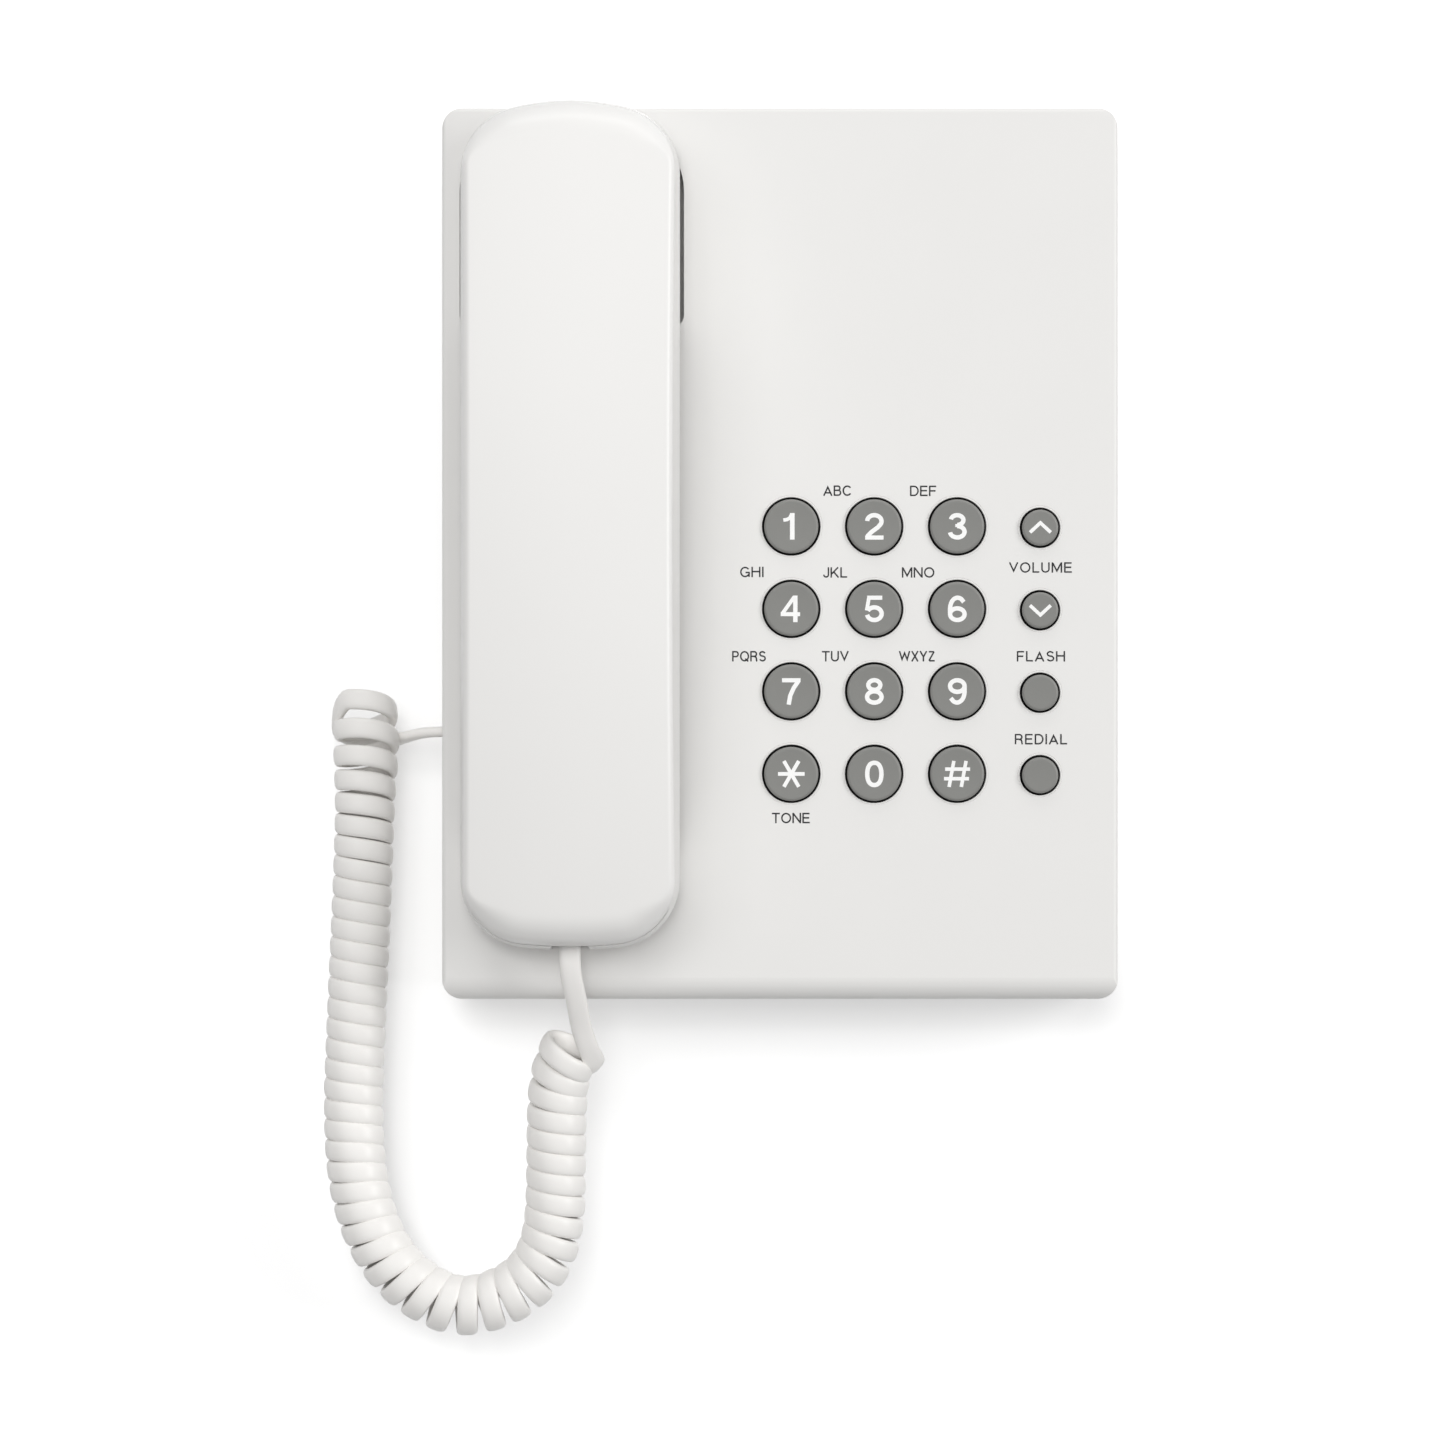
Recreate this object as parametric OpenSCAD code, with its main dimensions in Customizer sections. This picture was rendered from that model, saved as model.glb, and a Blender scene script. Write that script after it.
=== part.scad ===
// Slimline corded wall phone. Every piece is drawn lying on its back, with X to the right,
// Y up the wall and Z out of it, and hung() then stands it against the wall plane.

/* [Base housing] */
// Width of the base
base_w = 150; // [145:1:190]
// Height of the base
base_h = 198; // [194:1:250]
// Depth from the rear face to the front face
base_d = 34; // [33:0.5:44]
// Corner radius of the base seen from the front
corner_r = 4.6; // [3:0.2:8]
// Rounding of the face's top and side edges
face_edge_r = 1; // [0.6:0.1:2]
// Rounding of the face's bottom edge
foot_edge_r = 5; // [3:0.5:7]
// Wall thickness of both covers
wall = 2.2; // [1.8:0.1:2.6]
// Height of the seam between the covers over the rear face
seam_z = 12; // [11:0.5:12.5]
// How far the back cover narrows towards its rear face, on each side
back_draft = 1.5; // [0.5:0.1:2.5]

/* [Handset] */
// Width of the handset
handset_w = 48.2; // [46:0.2:58]
// Length of the handset
handset_l = 186.6; // [182:0.2:190]
// From the base's left edge to the middle of the handset
handset_edge = 28.8; // [28:0.2:36]
// How far the handset's top stands over the base's top edge
handset_rise = 0.2; // [0:0.1:2]
// Height of the crown over the face of the base
crown_h = 31; // [28:0.5:37]
// Height of the seam between the handset's shells over the face
handset_seam = 12; // [11.5:0.5:14]
// Clearance between the grip and the face, for the fingers
grip_gap = 9; // [8:0.2:9.4]
// Wall thickness of the handset's shells
shell = 2; // [1.6:0.1:2.4]
// Radius of the crown along the handset
crown_long_r = 548; // [400:4:900]
// Radius of the crown across the handset
crown_cross_r = 160; // [90:5:300]
// Radius of the receiver end seen from the front
top_end_r = 52; // [40:1:80]
// Radius of the mouthpiece end seen from the front
bottom_end_r = 100; // [60:2:140]
// Corner radius of both ends seen from the front
end_corner_r = 15; // [10:0.5:19]
// Lean of the side walls above the seam, in degrees
side_lean = 8; // [4:0.5:10]

/* [Cradle] */
// Depth of the wells that hold the handset
well_depth = 10; // [8:0.2:11]
// Length of the receiver's well
ear_well_l = 45; // [44:0.5:50]
// Length of the mouthpiece's well
mouth_well_l = 22; // [21:0.5:28]
// Rim between the receiver's well and the top edge
ear_rim = 3.5; // [3:0.1:6]
// How far the receiver's well shows beside the handset
well_side = 0.8; // [0.3:0.1:1]
// Side clearance of the mouthpiece in its well
mouth_side = 0.3; // [0.2:0.05:0.5]
// Corner radius of both wells' outer ends
well_end_r = 15; // [8:0.5:17]
// Slope of the path on which the handset comes off, in degrees
lift_angle = 20; // [10:1:25]
// Travel of the hook button
hook_travel = 4; // [3:0.2:4.4]

/* [Keypad] */
// Sideways spacing of the keys
key_pitch_x = 18.4; // [16:0.1:19]
// Spacing of the key rows
key_pitch_y = 18.3; // [16:0.1:19]
// From the base's right edge to the column of small keys
key_edge_x = 17.3; // [16:0.1:22]
// From the base's top edge to the first row
key_edge_y = 92.9; // [88:0.1:100]
// Diameter of the large keys
key_d = 12; // [10:0.1:13]
// Diameter of the small keys
small_key_d = 8; // [7:0.1:10]
// Gap round each key
key_gap = 0.48; // [0.3:0.02:0.7]
// Height of a key's middle over the face
key_rise = 1.4; // [1:0.1:2.4]

/* [Wall mount] */
// Distance between the two keyholes
keyhole_pitch = 83; // [80:0.5:120]
// Diameter of a keyhole's entry
keyhole_d = 9; // [8:0.1:10]
// Width of a keyhole's slot
keyhole_slot = 4.6; // [4:0.1:5]
// Length of a keyhole's slot over its entry
keyhole_run = 8; // [7:0.5:10]

/* [Cord and sockets] */
// Width of the flat cord
cord_w = 4.6; // [4:0.1:5]
// Thickness of the flat cord
cord_t = 2.4; // [2:0.1:2.8]
// Outer diameter of the curly part
coil_d = 13.5; // [12:0.1:15]
// Width of a cord plug
plug_w = 7.6; // [7.5:0.05:7.7]
// Width of the line socket's opening
line_socket_w = 9.8; // [9.7:0.05:10]

/* [Hidden] */
$fn = 64;
BIG_KEYS = ["key_1", "key_2", "key_3", "key_4", "key_5", "key_6",
            "key_7", "key_8", "key_9", "key_star", "key_0", "key_hash"];
SMALL_KEYS = ["key_volume_up", "key_volume_down", "key_flash", "key_redial"];

WHITE = "#efeeea";
KEY_GREY = "#8c8c89";
BOARD_GREEN = "#4f7a4a";
RUBBER = "#3c3c3e";
STEEL = "#b9bcc0";
CLEAR = "#dfe6ea";
BLACK = "#26262a";
WIRE_RED = "#8e3b34";

seat = 0.3;          // rest clearance between pieces of different bodies
slip = 0.15;         // clearance of a tongue in its cover
eps = 0.01;

// heights over the rear face
face = base_d;
face_in = face - wall;
well_floor = face - well_depth;
floor_in = well_floor - wall;

// the handset's place on the face
handset_x = -base_w / 2 + handset_edge;
handset_hi = base_h / 2 + handset_rise;
handset_lo = handset_hi - handset_l;
handset_mid = (handset_hi + handset_lo) / 2;
end_edge_r = 9;
end_lean = 12;
crown_edge_r = 3;

// the handset's base side narrows towards the wells
skirt_lean = 2.5;
skirt_r = 2.2;
face_half = handset_w / 2 - handset_seam * tan(skirt_lean);

// wells
well_w = handset_w + 2 * well_side;
mouth_well_w = 2 * face_half + 2 * mouth_side;
well_r = 2.5;
ear_well_hi = base_h / 2 - ear_rim;
ear_well_lo = ear_well_hi - ear_well_l;
mouth_well_lo = handset_lo + 1.4;
mouth_well_hi = mouth_well_lo + mouth_well_l;

// the blocks of the handset that sit in the wells
block_drop = well_depth - seat;
lift_slope = tan(lift_angle);
skirt_h = 0.8;
ear_block_hi = ear_well_hi - 1.5;
ear_block_lo = ear_well_lo + 1;
mouth_block_hi = mouth_well_hi - 1;
mouth_block_lo = mouth_well_lo + 0.8;
block_corner_r = 3.2;
block_end_r = well_end_r - 0.5;
slope_run = 12;

// keys: the cap, its flange, and what lies under it
small_key_drop = 0.3;
key_dome_r = 28;
key_edge_r = 0.5;
key_wall = 1.3;
flange_t = 1;
flange_reach = 1.3;
guide_l = 1.5;
guide_t = 1.1;
flange_z = face_in - guide_l - seat - flange_t;
dome_h = 2.7;
mat_t = 1;
mat_z = flange_z - seat - dome_h - mat_t;
board_t = 1.6;
board_z = mat_z - board_t;
key_x = base_w / 2 - key_edge_x - 3 * key_pitch_x;
key_y = base_h / 2 - key_edge_y;
big_places = [for (row = [0:3], col = [0:2]) [key_x + col * key_pitch_x, key_y - row * key_pitch_y]];
small_places = [for (row = [0:3]) [key_x + 3 * key_pitch_x, key_y - row * key_pitch_y - small_key_drop]];

// circuit board
board_l = handset_x + well_w / 2 + wall + 3;
board_r = base_w / 2 - 11;
board_lo = key_y - 3 * key_pitch_y - 17.2;
board_hi = base_h / 2 - 7;
post_r = 3;
board_posts = [[board_l + 4, board_lo + 4], [board_r - 4, board_lo + 4],
               [board_l + 4, key_y + 14], [board_r - 4, key_y + 16],
               [board_l + 4, board_hi - 4], [board_r - 24, board_hi - 6]];
board_screw_r = 1.1;

// case screws
case_posts = [[-base_w / 2 + 11, ear_well_lo - 12.5], [-base_w / 2 + 11, mouth_well_hi + 12],
              [base_w / 2 - 6.2, 62], [base_w / 2 - 6.2, -62]];
case_post_r = 3.2;
case_post_z = 8;
case_head_z = 6;
case_screw_r = 1.25;
case_head_r = 2.8;

// rubber feet
foot_r = 5.5;
foot_out = 1.5;
foot_in = 1.2;
foot_places = [for (x = [-1, 1], y = [-1, 1]) [x * (base_w / 2 - 17), y * (base_h / 2 - 11)]];

// sockets, switches and ringer
line_x = base_w / 2 - 21;
line_body = [13.2, 13.5, 11.6];
line_z = board_z - line_body[2];
line_socket_h = 6.9;
socket_depth = 11.2;
cord_jack_y = mouth_well_hi + 24.5;
cord_jack_z = 15;
jack_body = [11, 13, 10];
plug_h = 6.5;
plug_l = 11.6;
plug_room = 0.1;
plug_proud = 1.4;
socket_gap = 0.8;     // between a wall and the cord socket behind it
mouth_gap = 1.6;      // the same in the handset, whose end wall leans inwards
switch_body = [12, 6, 5.5];
ringer_knob_x = board_l + 24;
dial_knob_x = board_l + 44;
knob_w = 7;
knob_h = 3.6;
knob_play = 0.25;
ringer_travel = 6;
dial_travel = 3;
ringer_at = [board_r - 20, board_hi - 30];
ringer_r = 13.5;
ringer_h = 7;

// hook
hook_y = ear_well_lo + 7.2;
hook_size = [8, 5];
hook_play = 0.3;
hook_flange_t = 1.2;
hook_sleeve = 1.6;
hook_flange_z = floor_in - hook_sleeve - hook_travel - 0.1 - hook_flange_t;
hook_stem_r = 1.9;
switch_z = wall;
switch_h = 5;
actuator_h = 0.6;
spring_d = 7;
spring_wire = 0.6;
spring_turns = 6;
tab_y = ear_block_hi - block_drop * lift_slope - 4.6;
tab_w = 13.4;
tab_t = 2.4;
tab_out = 3.7;
tab_in = 8;

// handset insides
grip_floor = face + grip_gap + shell;
ear_floor = face - block_drop + shell + 0.05;
receiver_y = ear_block_lo + 18;
receiver_r = 13;
receiver_h = 7;
ring_t = 1;
mic_y = mouth_block_lo + 8.2;
mic_r = 4.85;
mic_h = 5;
boot_t = 0.95;
boot_floor = 1.5;
handset_jack_z = face + handset_seam + 0.2;
handset_jack_body = [11, 12, 9.2];
grip_screws = [ear_block_lo - slope_run - 5.5, mouth_block_hi + slope_run + 7];
handset_post_z = face + handset_seam + 1.5;
handset_head_z = handset_post_z - 2.3;
weight_size = [18, 60, 5];
weight_y = (grip_screws[0] + grip_screws[1]) / 2;

// routes: x to the right, y up, z out of the wall
coil_route = [[-93.8, -32.6, 12.2], [-93.2, -38, 14.2], [-93.2, -44.5, 15], [-93.7, -65, 15],
    [-94.5, -85, 15], [-95.4, -105, 15], [-96, -125, 15], [-95, -140, 16], [-92, -151, 17],
    [-87, -159.5, 18], [-80, -165.5, 19], [-72, -168.5, 20], [-64, -167, 21], [-57, -163, 22],
    [-52.5, -157, 23], [-50.5, -149, 24], [-50, -138, 25], [-49.8, -125, 26], [-49.4, -118.5, 26.5],
    [-48.4, -114, 27.4], [-46.8, -110.6, 29.2]];
base_lead = [[-76, -39.5, 15], [-80, -39.7, 14.2], [-85, -40.8, 11.5], [-88.5, -41.5, 8.8]];
handset_lead = [[-46.2, -90, 46], [-45.9, -93.6, 44.6], [-45, -98.5, 41.6], [-43.9, -105, 37],
    [-42.4, -110, 33.6]];

// wires inside: rows side by side, drawn from what they leave to what they reach
wire_r = 0.5;
wire_pitch = 1.4;
wire_end = 0.3;
wire_drop = 4;
handset_channel = weight_size[0] / 2 + 5;
receiver_rear = ear_floor + ring_t + receiver_h;
mic_rear = ear_floor + boot_floor + mic_h;
receiver_wires = [[3, handset_lo + shell + mouth_gap + handset_jack_body[1] + wire_end, handset_jack_z],
    [8, mouth_block_hi, grip_floor + 2], [handset_channel, grip_screws[1], grip_floor + 1],
    [handset_channel, ear_block_lo - 9, grip_floor + 1], [9, ear_block_lo + 3, grip_floor - 3],
    [5, receiver_y - 8, receiver_rear + 3], [2.5, receiver_y, receiver_rear + wire_end + wire_r]];
microphone_wires = [[0, mic_y, handset_jack_z - handset_jack_body[2] / 2 - wire_end],
    [0.5, mic_y + 0.8, mic_rear + 4], [0, mic_y, mic_rear + wire_end]];
cord_wires = [[-base_w / 2 + wall + socket_gap + jack_body[1] + wire_end, cord_jack_y, cord_jack_z],
    [-base_w / 2 + 26, cord_jack_y + 1, cord_jack_z - 4], [board_l - 12, cord_jack_y + 4, cord_jack_z - 2],
    [board_l + 4, cord_jack_y + 5, board_z - wire_drop], [board_l + 4, cord_jack_y + 5, board_z - wire_end]];
hook_wires = [[handset_x + 8 + wire_end, hook_y, switch_z + switch_h / 2],
    [handset_x + 16, hook_y - 1, switch_z + switch_h / 2], [board_l - 5, hook_y - 3, board_z / 2],
    [board_l + 5, hook_y - 4, board_z - wire_drop], [board_l + 5, hook_y - 4, board_z - wire_end]];
ringer_wires = [[ringer_at[0], ringer_at[1], wall + ringer_h + wire_end],
    [ringer_at[0], ringer_at[1], wall + ringer_h + 2],
    [ringer_at[0] - 5, ringer_at[1] - 7, board_z - wire_drop],
    [ringer_at[0] - 5, ringer_at[1] - 7, board_z - wire_end]];

// Shared shapes

module hung() {
    rotate([90, 0, 0]) children();
}

module rounded_rect(w, h, r) {
    square([w - 2 * r, h], center = true);
    square([w, h - 2 * r], center = true);
    for (x = [-1, 1], y = [-1, 1]) translate([x * (w / 2 - r), y * (h / 2 - r)]) circle(r);
}

// A block of the given size whose upright edges are rounded, standing on z = 0
module rounded_block(w, h, depth, r) {
    linear_extrude(depth) rounded_rect(w, h, r);
}

// The area under an arch: a crown of radius R that reaches `reach` over the middle, corners
// of radius r, and sides that lean inwards from the half width at y = 0
module arch(half, reach, R, r, lean = 0) {
    out = [cos(lean), sin(lean)];
    up = [-sin(lean), cos(lean)];
    centre = [0, reach - R];
    start = [half, 0] - r * out - centre;
    along = start * up;
    climb = -along + sqrt(along * along - start * start + (R - r) * (R - r));
    corner = centre + start + climb * up;
    foot = corner + r * out;
    ray = 1.2 * R * (corner - centre) / norm(corner - centre);
    polygon([[-half, 0], [half, 0], foot, corner, [-corner[0], corner[1]], [-foot[0], foot[1]]]);
    intersection() {
        translate(centre) circle(R, $fn = 180);
        translate(centre) polygon([[0, 0], ray, [0, 1.5 * R], [-ray[0], ray[1]]]);
        translate([-half, 0]) square([2 * half, reach + 1]);
    }
    for (x = [-1, 1]) translate([x * corner[0], corner[1]]) circle(r);
}

// The area of a block whose sides lean inwards from the half width at y = 0, with corners of
// radius r at its far end
module leaning(half, reach, r, lean) {
    out = [cos(lean), sin(lean)];
    up = [-sin(lean), cos(lean)];
    corner = [half, 0] - r * out + (reach - r + r * sin(lean)) / cos(lean) * up;
    foot = corner + r * out;
    polygon([[-half, 0], [half, 0], foot, [corner[0], reach], [-corner[0], reach], [-foot[0], foot[1]]]);
    for (x = [-1, 1]) translate([x * corner[0], corner[1]]) circle(r);
}

// A rectangle of half width w from y = lo to y = hi, with a corner radius of its own at each end
module plate(w, lo, hi, r_lo, r_hi) {
    translate([-w, lo + r_lo]) square([2 * w, hi - lo - r_lo - r_hi]);
    translate([-w + r_lo, lo]) square([2 * (w - r_lo), hi - lo - r_hi]);
    translate([-w + r_hi, lo + r_lo]) square([2 * (w - r_hi), hi - lo - r_lo]);
    for (x = [-1, 1]) {
        translate([x * (w - r_lo), lo + r_lo]) circle(r_lo);
        translate([x * (w - r_hi), hi - r_hi]) circle(r_hi);
    }
}

function unit(v) = v / norm(v);

// A closed outline moved inwards by t, corner by corner
function inset(p, t) = [for (i = [0:len(p) - 1])
    let (n = len(p),
         a = unit(p[i] - p[(i + n - 1) % n]),
         b = unit(p[(i + 1) % n] - p[i]),
         na = [-a[1], a[0]],
         nb = [-b[1], b[0]])
    p[i] + t * (na + nb) / (1 + na * nb)];

// Rings of n points round each point of a route, joined into one closed tube. `wide` is the
// direction of the half width a, and the half thickness is b.
module sweep(route, a, b, n, wide) {
    last = len(route) - 1;
    rings = [for (i = [0:last])
        let (d = unit(route[min(i + 1, last)] - route[max(i - 1, 0)]),
             v = unit(cross(d, wide)),
             u = cross(v, d))
        for (k = [0:n - 1]) route[i] + a * cos(360 * (k + 0.5) / n) * u + b * sin(360 * (k + 0.5) / n) * v];
    sides = [for (i = [0:last - 1], k = [0:n - 1])
        [i * n + k, i * n + (k + 1) % n, (i + 1) * n + (k + 1) % n, (i + 1) * n + k]];
    caps = [[for (k = [n - 1:-1:0]) k], [for (k = [0:n - 1]) last * n + k]];
    polyhedron(rings, concat(sides, caps));
}

// A pan-head screw: the head's seat is at z = 0, its slot faces down, its shank points up
module screw(head_r, head_h, r, l) {
    difference() {
        union() {
            translate([0, 0, -head_h]) cylinder(h = head_h, r1 = head_r * 0.8, r2 = head_r);
            cylinder(h = l - r, r = r);
            translate([0, 0, l - r]) cylinder(h = r, r1 = r, r2 = r * 0.4);
        }
        for (turn = [0, 90]) rotate(turn)
            translate([-head_r * 0.55, -0.3, -head_h - 1]) cube([head_r * 1.1, 0.6, 1 + head_h * 0.6]);
    }
}

// Base housing

// Section of the closed base, with the wall thickness t taken off; r_low rounds the negative side
module cover_section(half, r_low, r_high, t) {
    a = half - t;
    top = base_d - t;
    rl = max(r_low - t, 0.3);
    rh = max(r_high - t, 0.3);
    rear = back_draft * (1 - t / seam_z);
    polygon([[-a + rear, t], [a - rear, t], [a, seam_z], [a, top - rh], [a - rh, top],
             [-a + rl, top], [-a, top - rl], [-a, seam_z]]);
    translate([a - rh, top - rh]) circle(rh);
    translate([-a + rl, top - rl]) circle(rl);
}

module base_block(t) {
    intersection() {
        translate([0, 0, t])
            rounded_block(base_w - 2 * t, base_h - 2 * t, base_d - 2 * t, max(corner_r - t, 0.5));
        rotate([90, 0, 90]) linear_extrude(base_w, center = true)
            cover_section(base_h / 2, foot_edge_r, face_edge_r, t);
        rotate([90, 0, 0]) linear_extrude(base_h, center = true)
            cover_section(base_w / 2, face_edge_r, face_edge_r, t);
    }
}

module slice(z0, z1) {
    translate([-base_w / 2 - 1, -base_h / 2 - 1, z0]) cube([base_w + 2, base_h + 2, z1 - z0]);
}

module both_wells(z0, z1, grow) {
    side = well_r + grow;
    end = well_end_r + grow;
    translate([handset_x, 0, z0]) linear_extrude(z1 - z0) {
        plate(well_w / 2 + grow, ear_well_lo - grow, ear_well_hi + grow, side, end);
        plate(mouth_well_w / 2 + grow, mouth_well_lo - grow, mouth_well_hi + grow, end, side);
    }
}

module key_guides() {
    for (p = big_places) translate([p[0], p[1], face_in - guide_l])
        cylinder(h = guide_l + 0.5, r = key_d / 2 + key_gap + guide_t);
    for (p = small_places) translate([p[0], p[1], face_in - guide_l])
        cylinder(h = guide_l + 0.5, r = small_key_d / 2 + key_gap + guide_t);
}

// One key opening with the shallow bevel round it
module key_hole(d) {
    r = d / 2 + key_gap;
    cylinder(h = base_d + 5, r = r);
    translate([0, 0, face - 0.35]) cylinder(h = 0.7, r1 = r + 0.1, r2 = r + 0.9);
}

module at_cord_jack() {
    translate([-base_w / 2, cord_jack_y, cord_jack_z]) children();
}

// Opening in the left walls for the cord plug
module cord_opening() {
    at_cord_jack() cube([12, plug_h + 1, plug_w + 1], center = true);
}

module knob_slot(x, travel) {
    translate([x, base_h / 2, board_z - switch_body[2] / 2])
        cube([knob_w + travel + 2 * knob_play, 4 * wall, knob_h + 2 * knob_play], center = true);
}

module top_cover() color(WHITE) hung() difference() {
    union() {
        intersection() {
            difference() {
                base_block(0);
                base_block(wall);
            }
            slice(seam_z, base_d + 1);
        }
        both_wells(floor_in, face_in + eps, wall);
        key_guides();
        for (p = board_posts) translate([p[0], p[1], board_z + board_t])
            cylinder(h = face_in + eps - board_z - board_t, r = post_r);
        for (p = case_posts) translate([p[0], p[1], case_post_z])
            cylinder(h = face_in + eps - case_post_z, r = case_post_r);
        // pocket under the well's floor for the hanger tab
        translate([handset_x, tab_y, floor_in - tab_in - 1])
            rounded_block(tab_w + 3.6, tab_t + 3.6, tab_in + 1 + eps, 1);
        // sleeve that guides the hook button
        translate([handset_x, hook_y, floor_in - hook_sleeve])
            rounded_block(hook_size[0] + 4, hook_size[1] + 4, hook_sleeve + eps, 2);
    }
    both_wells(well_floor, face + 1, 0);
    for (p = big_places) translate([p[0], p[1], 0]) key_hole(key_d);
    for (p = small_places) translate([p[0], p[1], 0]) key_hole(small_key_d);
    for (p = board_posts) translate([p[0], p[1], board_z + board_t - 1])
        cylinder(h = 5.5, r = board_screw_r + 0.05);
    for (p = case_posts) translate([p[0], p[1], case_post_z - 1]) cylinder(h = 13, r = case_screw_r + 0.05);
    translate([handset_x, tab_y, floor_in - tab_in])
        rounded_block(tab_w + 0.3, tab_t + 0.3, tab_in + wall + 1, 0.4);
    translate([handset_x, hook_y, floor_in - 4])
        rounded_block(hook_size[0] + 2 * hook_play, hook_size[1] + 2 * hook_play, wall + 8, 1.5 + hook_play);
    cord_opening();
    knob_slot(ringer_knob_x + ringer_travel / 2, ringer_travel);
    knob_slot(dial_knob_x + dial_travel / 2, dial_travel);
    // window for the line socket
    translate([line_x, base_h / 2, line_z + line_body[2] / 2])
        cube([line_socket_w + 0.8, 4 * wall, line_socket_h + 3.2], center = true);
}

// A wall screw's head goes in at the entry and slides up the slot
module keyhole_cut(grow, depth) {
    cylinder(h = depth, r = keyhole_d / 2 + grow);
    translate([-keyhole_slot / 2 - grow, 0, 0]) cube([keyhole_slot + 2 * grow, keyhole_run, depth]);
    translate([0, keyhole_run, 0]) cylinder(h = depth, r = keyhole_slot / 2 + grow);
}

// Guard behind a keyhole that keeps the screw's head off the board
module keyhole_guard() {
    guard_h = 7;
    difference() {
        translate([0, keyhole_run / 2, wall - eps])
            rounded_block(keyhole_d + 5, keyhole_run + keyhole_d + 5, guard_h, 4);
        translate([0, keyhole_run / 2, wall - 2 * eps])
            rounded_block(keyhole_d + 2, keyhole_run + keyhole_d + 2, guard_h - 1.5, 3);
    }
}

module back_tongue() {
    t = wall + slip;
    translate([0, 0, seam_z - 2]) linear_extrude(3.8) difference() {
        rounded_rect(base_w - 2 * t, base_h - 2 * t, corner_r - wall);
        rounded_rect(base_w - 2 * t - 2.4, base_h - 2 * t - 2.4, corner_r - wall);
    }
}

module back_cover() color(WHITE) hung() difference() {
    union() {
        intersection() {
            difference() {
                base_block(0);
                base_block(wall);
            }
            slice(0, seam_z);
        }
        difference() {
            back_tongue();
            for (p = case_posts) translate([p[0], p[1], seam_z - 3]) cylinder(h = 6, r = case_post_r + 0.3);
            at_cord_jack() cube([30, plug_h + 5, 16], center = true);
            translate([line_x, base_h / 2, seam_z]) cube([line_body[0] + 2, 20, 10], center = true);
        }
        for (p = case_posts) translate([p[0], p[1], 1]) cylinder(h = case_post_z - 1, r = case_head_r + 1.4);
        for (p = foot_places) translate([p[0], p[1], 1]) cylinder(h = wall, r = foot_r + 1.5);
        for (y = [-1, 1]) translate([0, y * keyhole_pitch / 2, 0]) keyhole_guard();
        // ring that holds the ringer
        translate([ringer_at[0], ringer_at[1], 1]) cylinder(h = wall + 3, r = ringer_r + 1.6);
        // rest under the cord socket
        translate([-base_w / 2 + wall + 2.5, cord_jack_y - 4, 1])
            cube([8, 8, cord_jack_z - jack_body[0] / 2 - 1]);
    }
    for (p = case_posts) translate([p[0], p[1], -1]) {
        cylinder(h = case_head_z + 1, r = case_head_r + 0.3);
        cylinder(h = case_post_z + 2, r = case_screw_r + 0.25);
    }
    for (p = foot_places) translate([p[0], p[1], -1]) cylinder(h = 1 + foot_in, r = foot_r);
    for (y = [-1, 1]) translate([0, y * keyhole_pitch / 2, -1]) keyhole_cut(0, wall + 2);
    translate([ringer_at[0], ringer_at[1], wall]) cylinder(h = 10, r = ringer_r + 0.1);
    // sound slots behind the ringer
    for (i = [-3:3]) translate([ringer_at[0] - 9 + abs(i), ringer_at[1] + i * 3 - 0.7, -1])
        cube([18 - 2 * abs(i), 1.4, wall + 2]);
    cord_opening();
}

module rubber_feet() color(RUBBER) hung()
    for (p = foot_places) translate([p[0], p[1], -foot_out]) {
        cylinder(h = 0.5, r1 = foot_r - 0.6, r2 = foot_r - 0.1);
        translate([0, 0, 0.5]) cylinder(h = foot_out + foot_in - 0.5, r = foot_r - 0.1);
    }

module cover_screws() color(STEEL) hung()
    for (p = case_posts) translate([p[0], p[1], case_head_z]) screw(case_head_r, 1.8, case_screw_r, 11);

// Board and what it carries

module main_board() color(BOARD_GREEN) hung() difference() {
    translate([board_l, board_lo, board_z]) cube([board_r - board_l, board_hi - board_lo, board_t]);
    for (p = board_posts) translate([p[0], p[1], board_z - 1])
        cylinder(h = board_t + 2, r = board_screw_r + 0.4);
}

module board_screws() color(STEEL) hung()
    for (p = board_posts) translate([p[0], p[1], board_z]) screw(2.2, 1.4, board_screw_r, 5);

// Components stand on the rear side of the board
module board_parts() color(BLACK) hung() {
    under = board_z;
    // line transformer
    translate([board_l + 20, board_hi - 34, under - 11]) cube([16, 13, 11]);
    // electrolytic capacitors
    for (i = [0:2]) translate([board_l + 10 + 12 * i, key_y + 22, under - 11]) cylinder(h = 11, r = 4);
    // film capacitors
    for (i = [0:1]) translate([board_l + 8, key_y - 22 - 14 * i, under - 7]) cube([10, 4, 7]);
    // dial chip
    translate([board_l + 34, key_y - 34, under - 3]) cube([18, 7.5, 3]);
    // crystal
    translate([board_l + 58, key_y - 30, under - 3.6]) cube([4.6, 10.5, 3.6]);
    // bridge diodes and resistors, lying flat
    for (i = [0:5]) translate([board_l + 30 + 5 * i, key_y - 6, under - 1.3]) rotate([90, 0, 0])
        cylinder(h = 7, r = 1.3, center = true);
}

// Rubber sheet with one dome under each key
module key_mat() color(RUBBER) hung() {
    margin = 9.5;
    lo = big_places[9] - [margin, margin];
    hi = small_places[0] + [6, margin];
    translate([lo[0], lo[1], mat_z]) cube([hi[0] - lo[0], hi[1] - lo[1], mat_t]);
    for (p = big_places) translate([p[0], p[1], mat_z + mat_t - eps])
        cylinder(h = dome_h + eps, r1 = 5.5, r2 = 3);
    for (p = small_places) translate([p[0], p[1], mat_z + mat_t - eps])
        cylinder(h = dome_h + eps, r1 = 4, r2 = 2.4);
}

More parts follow.
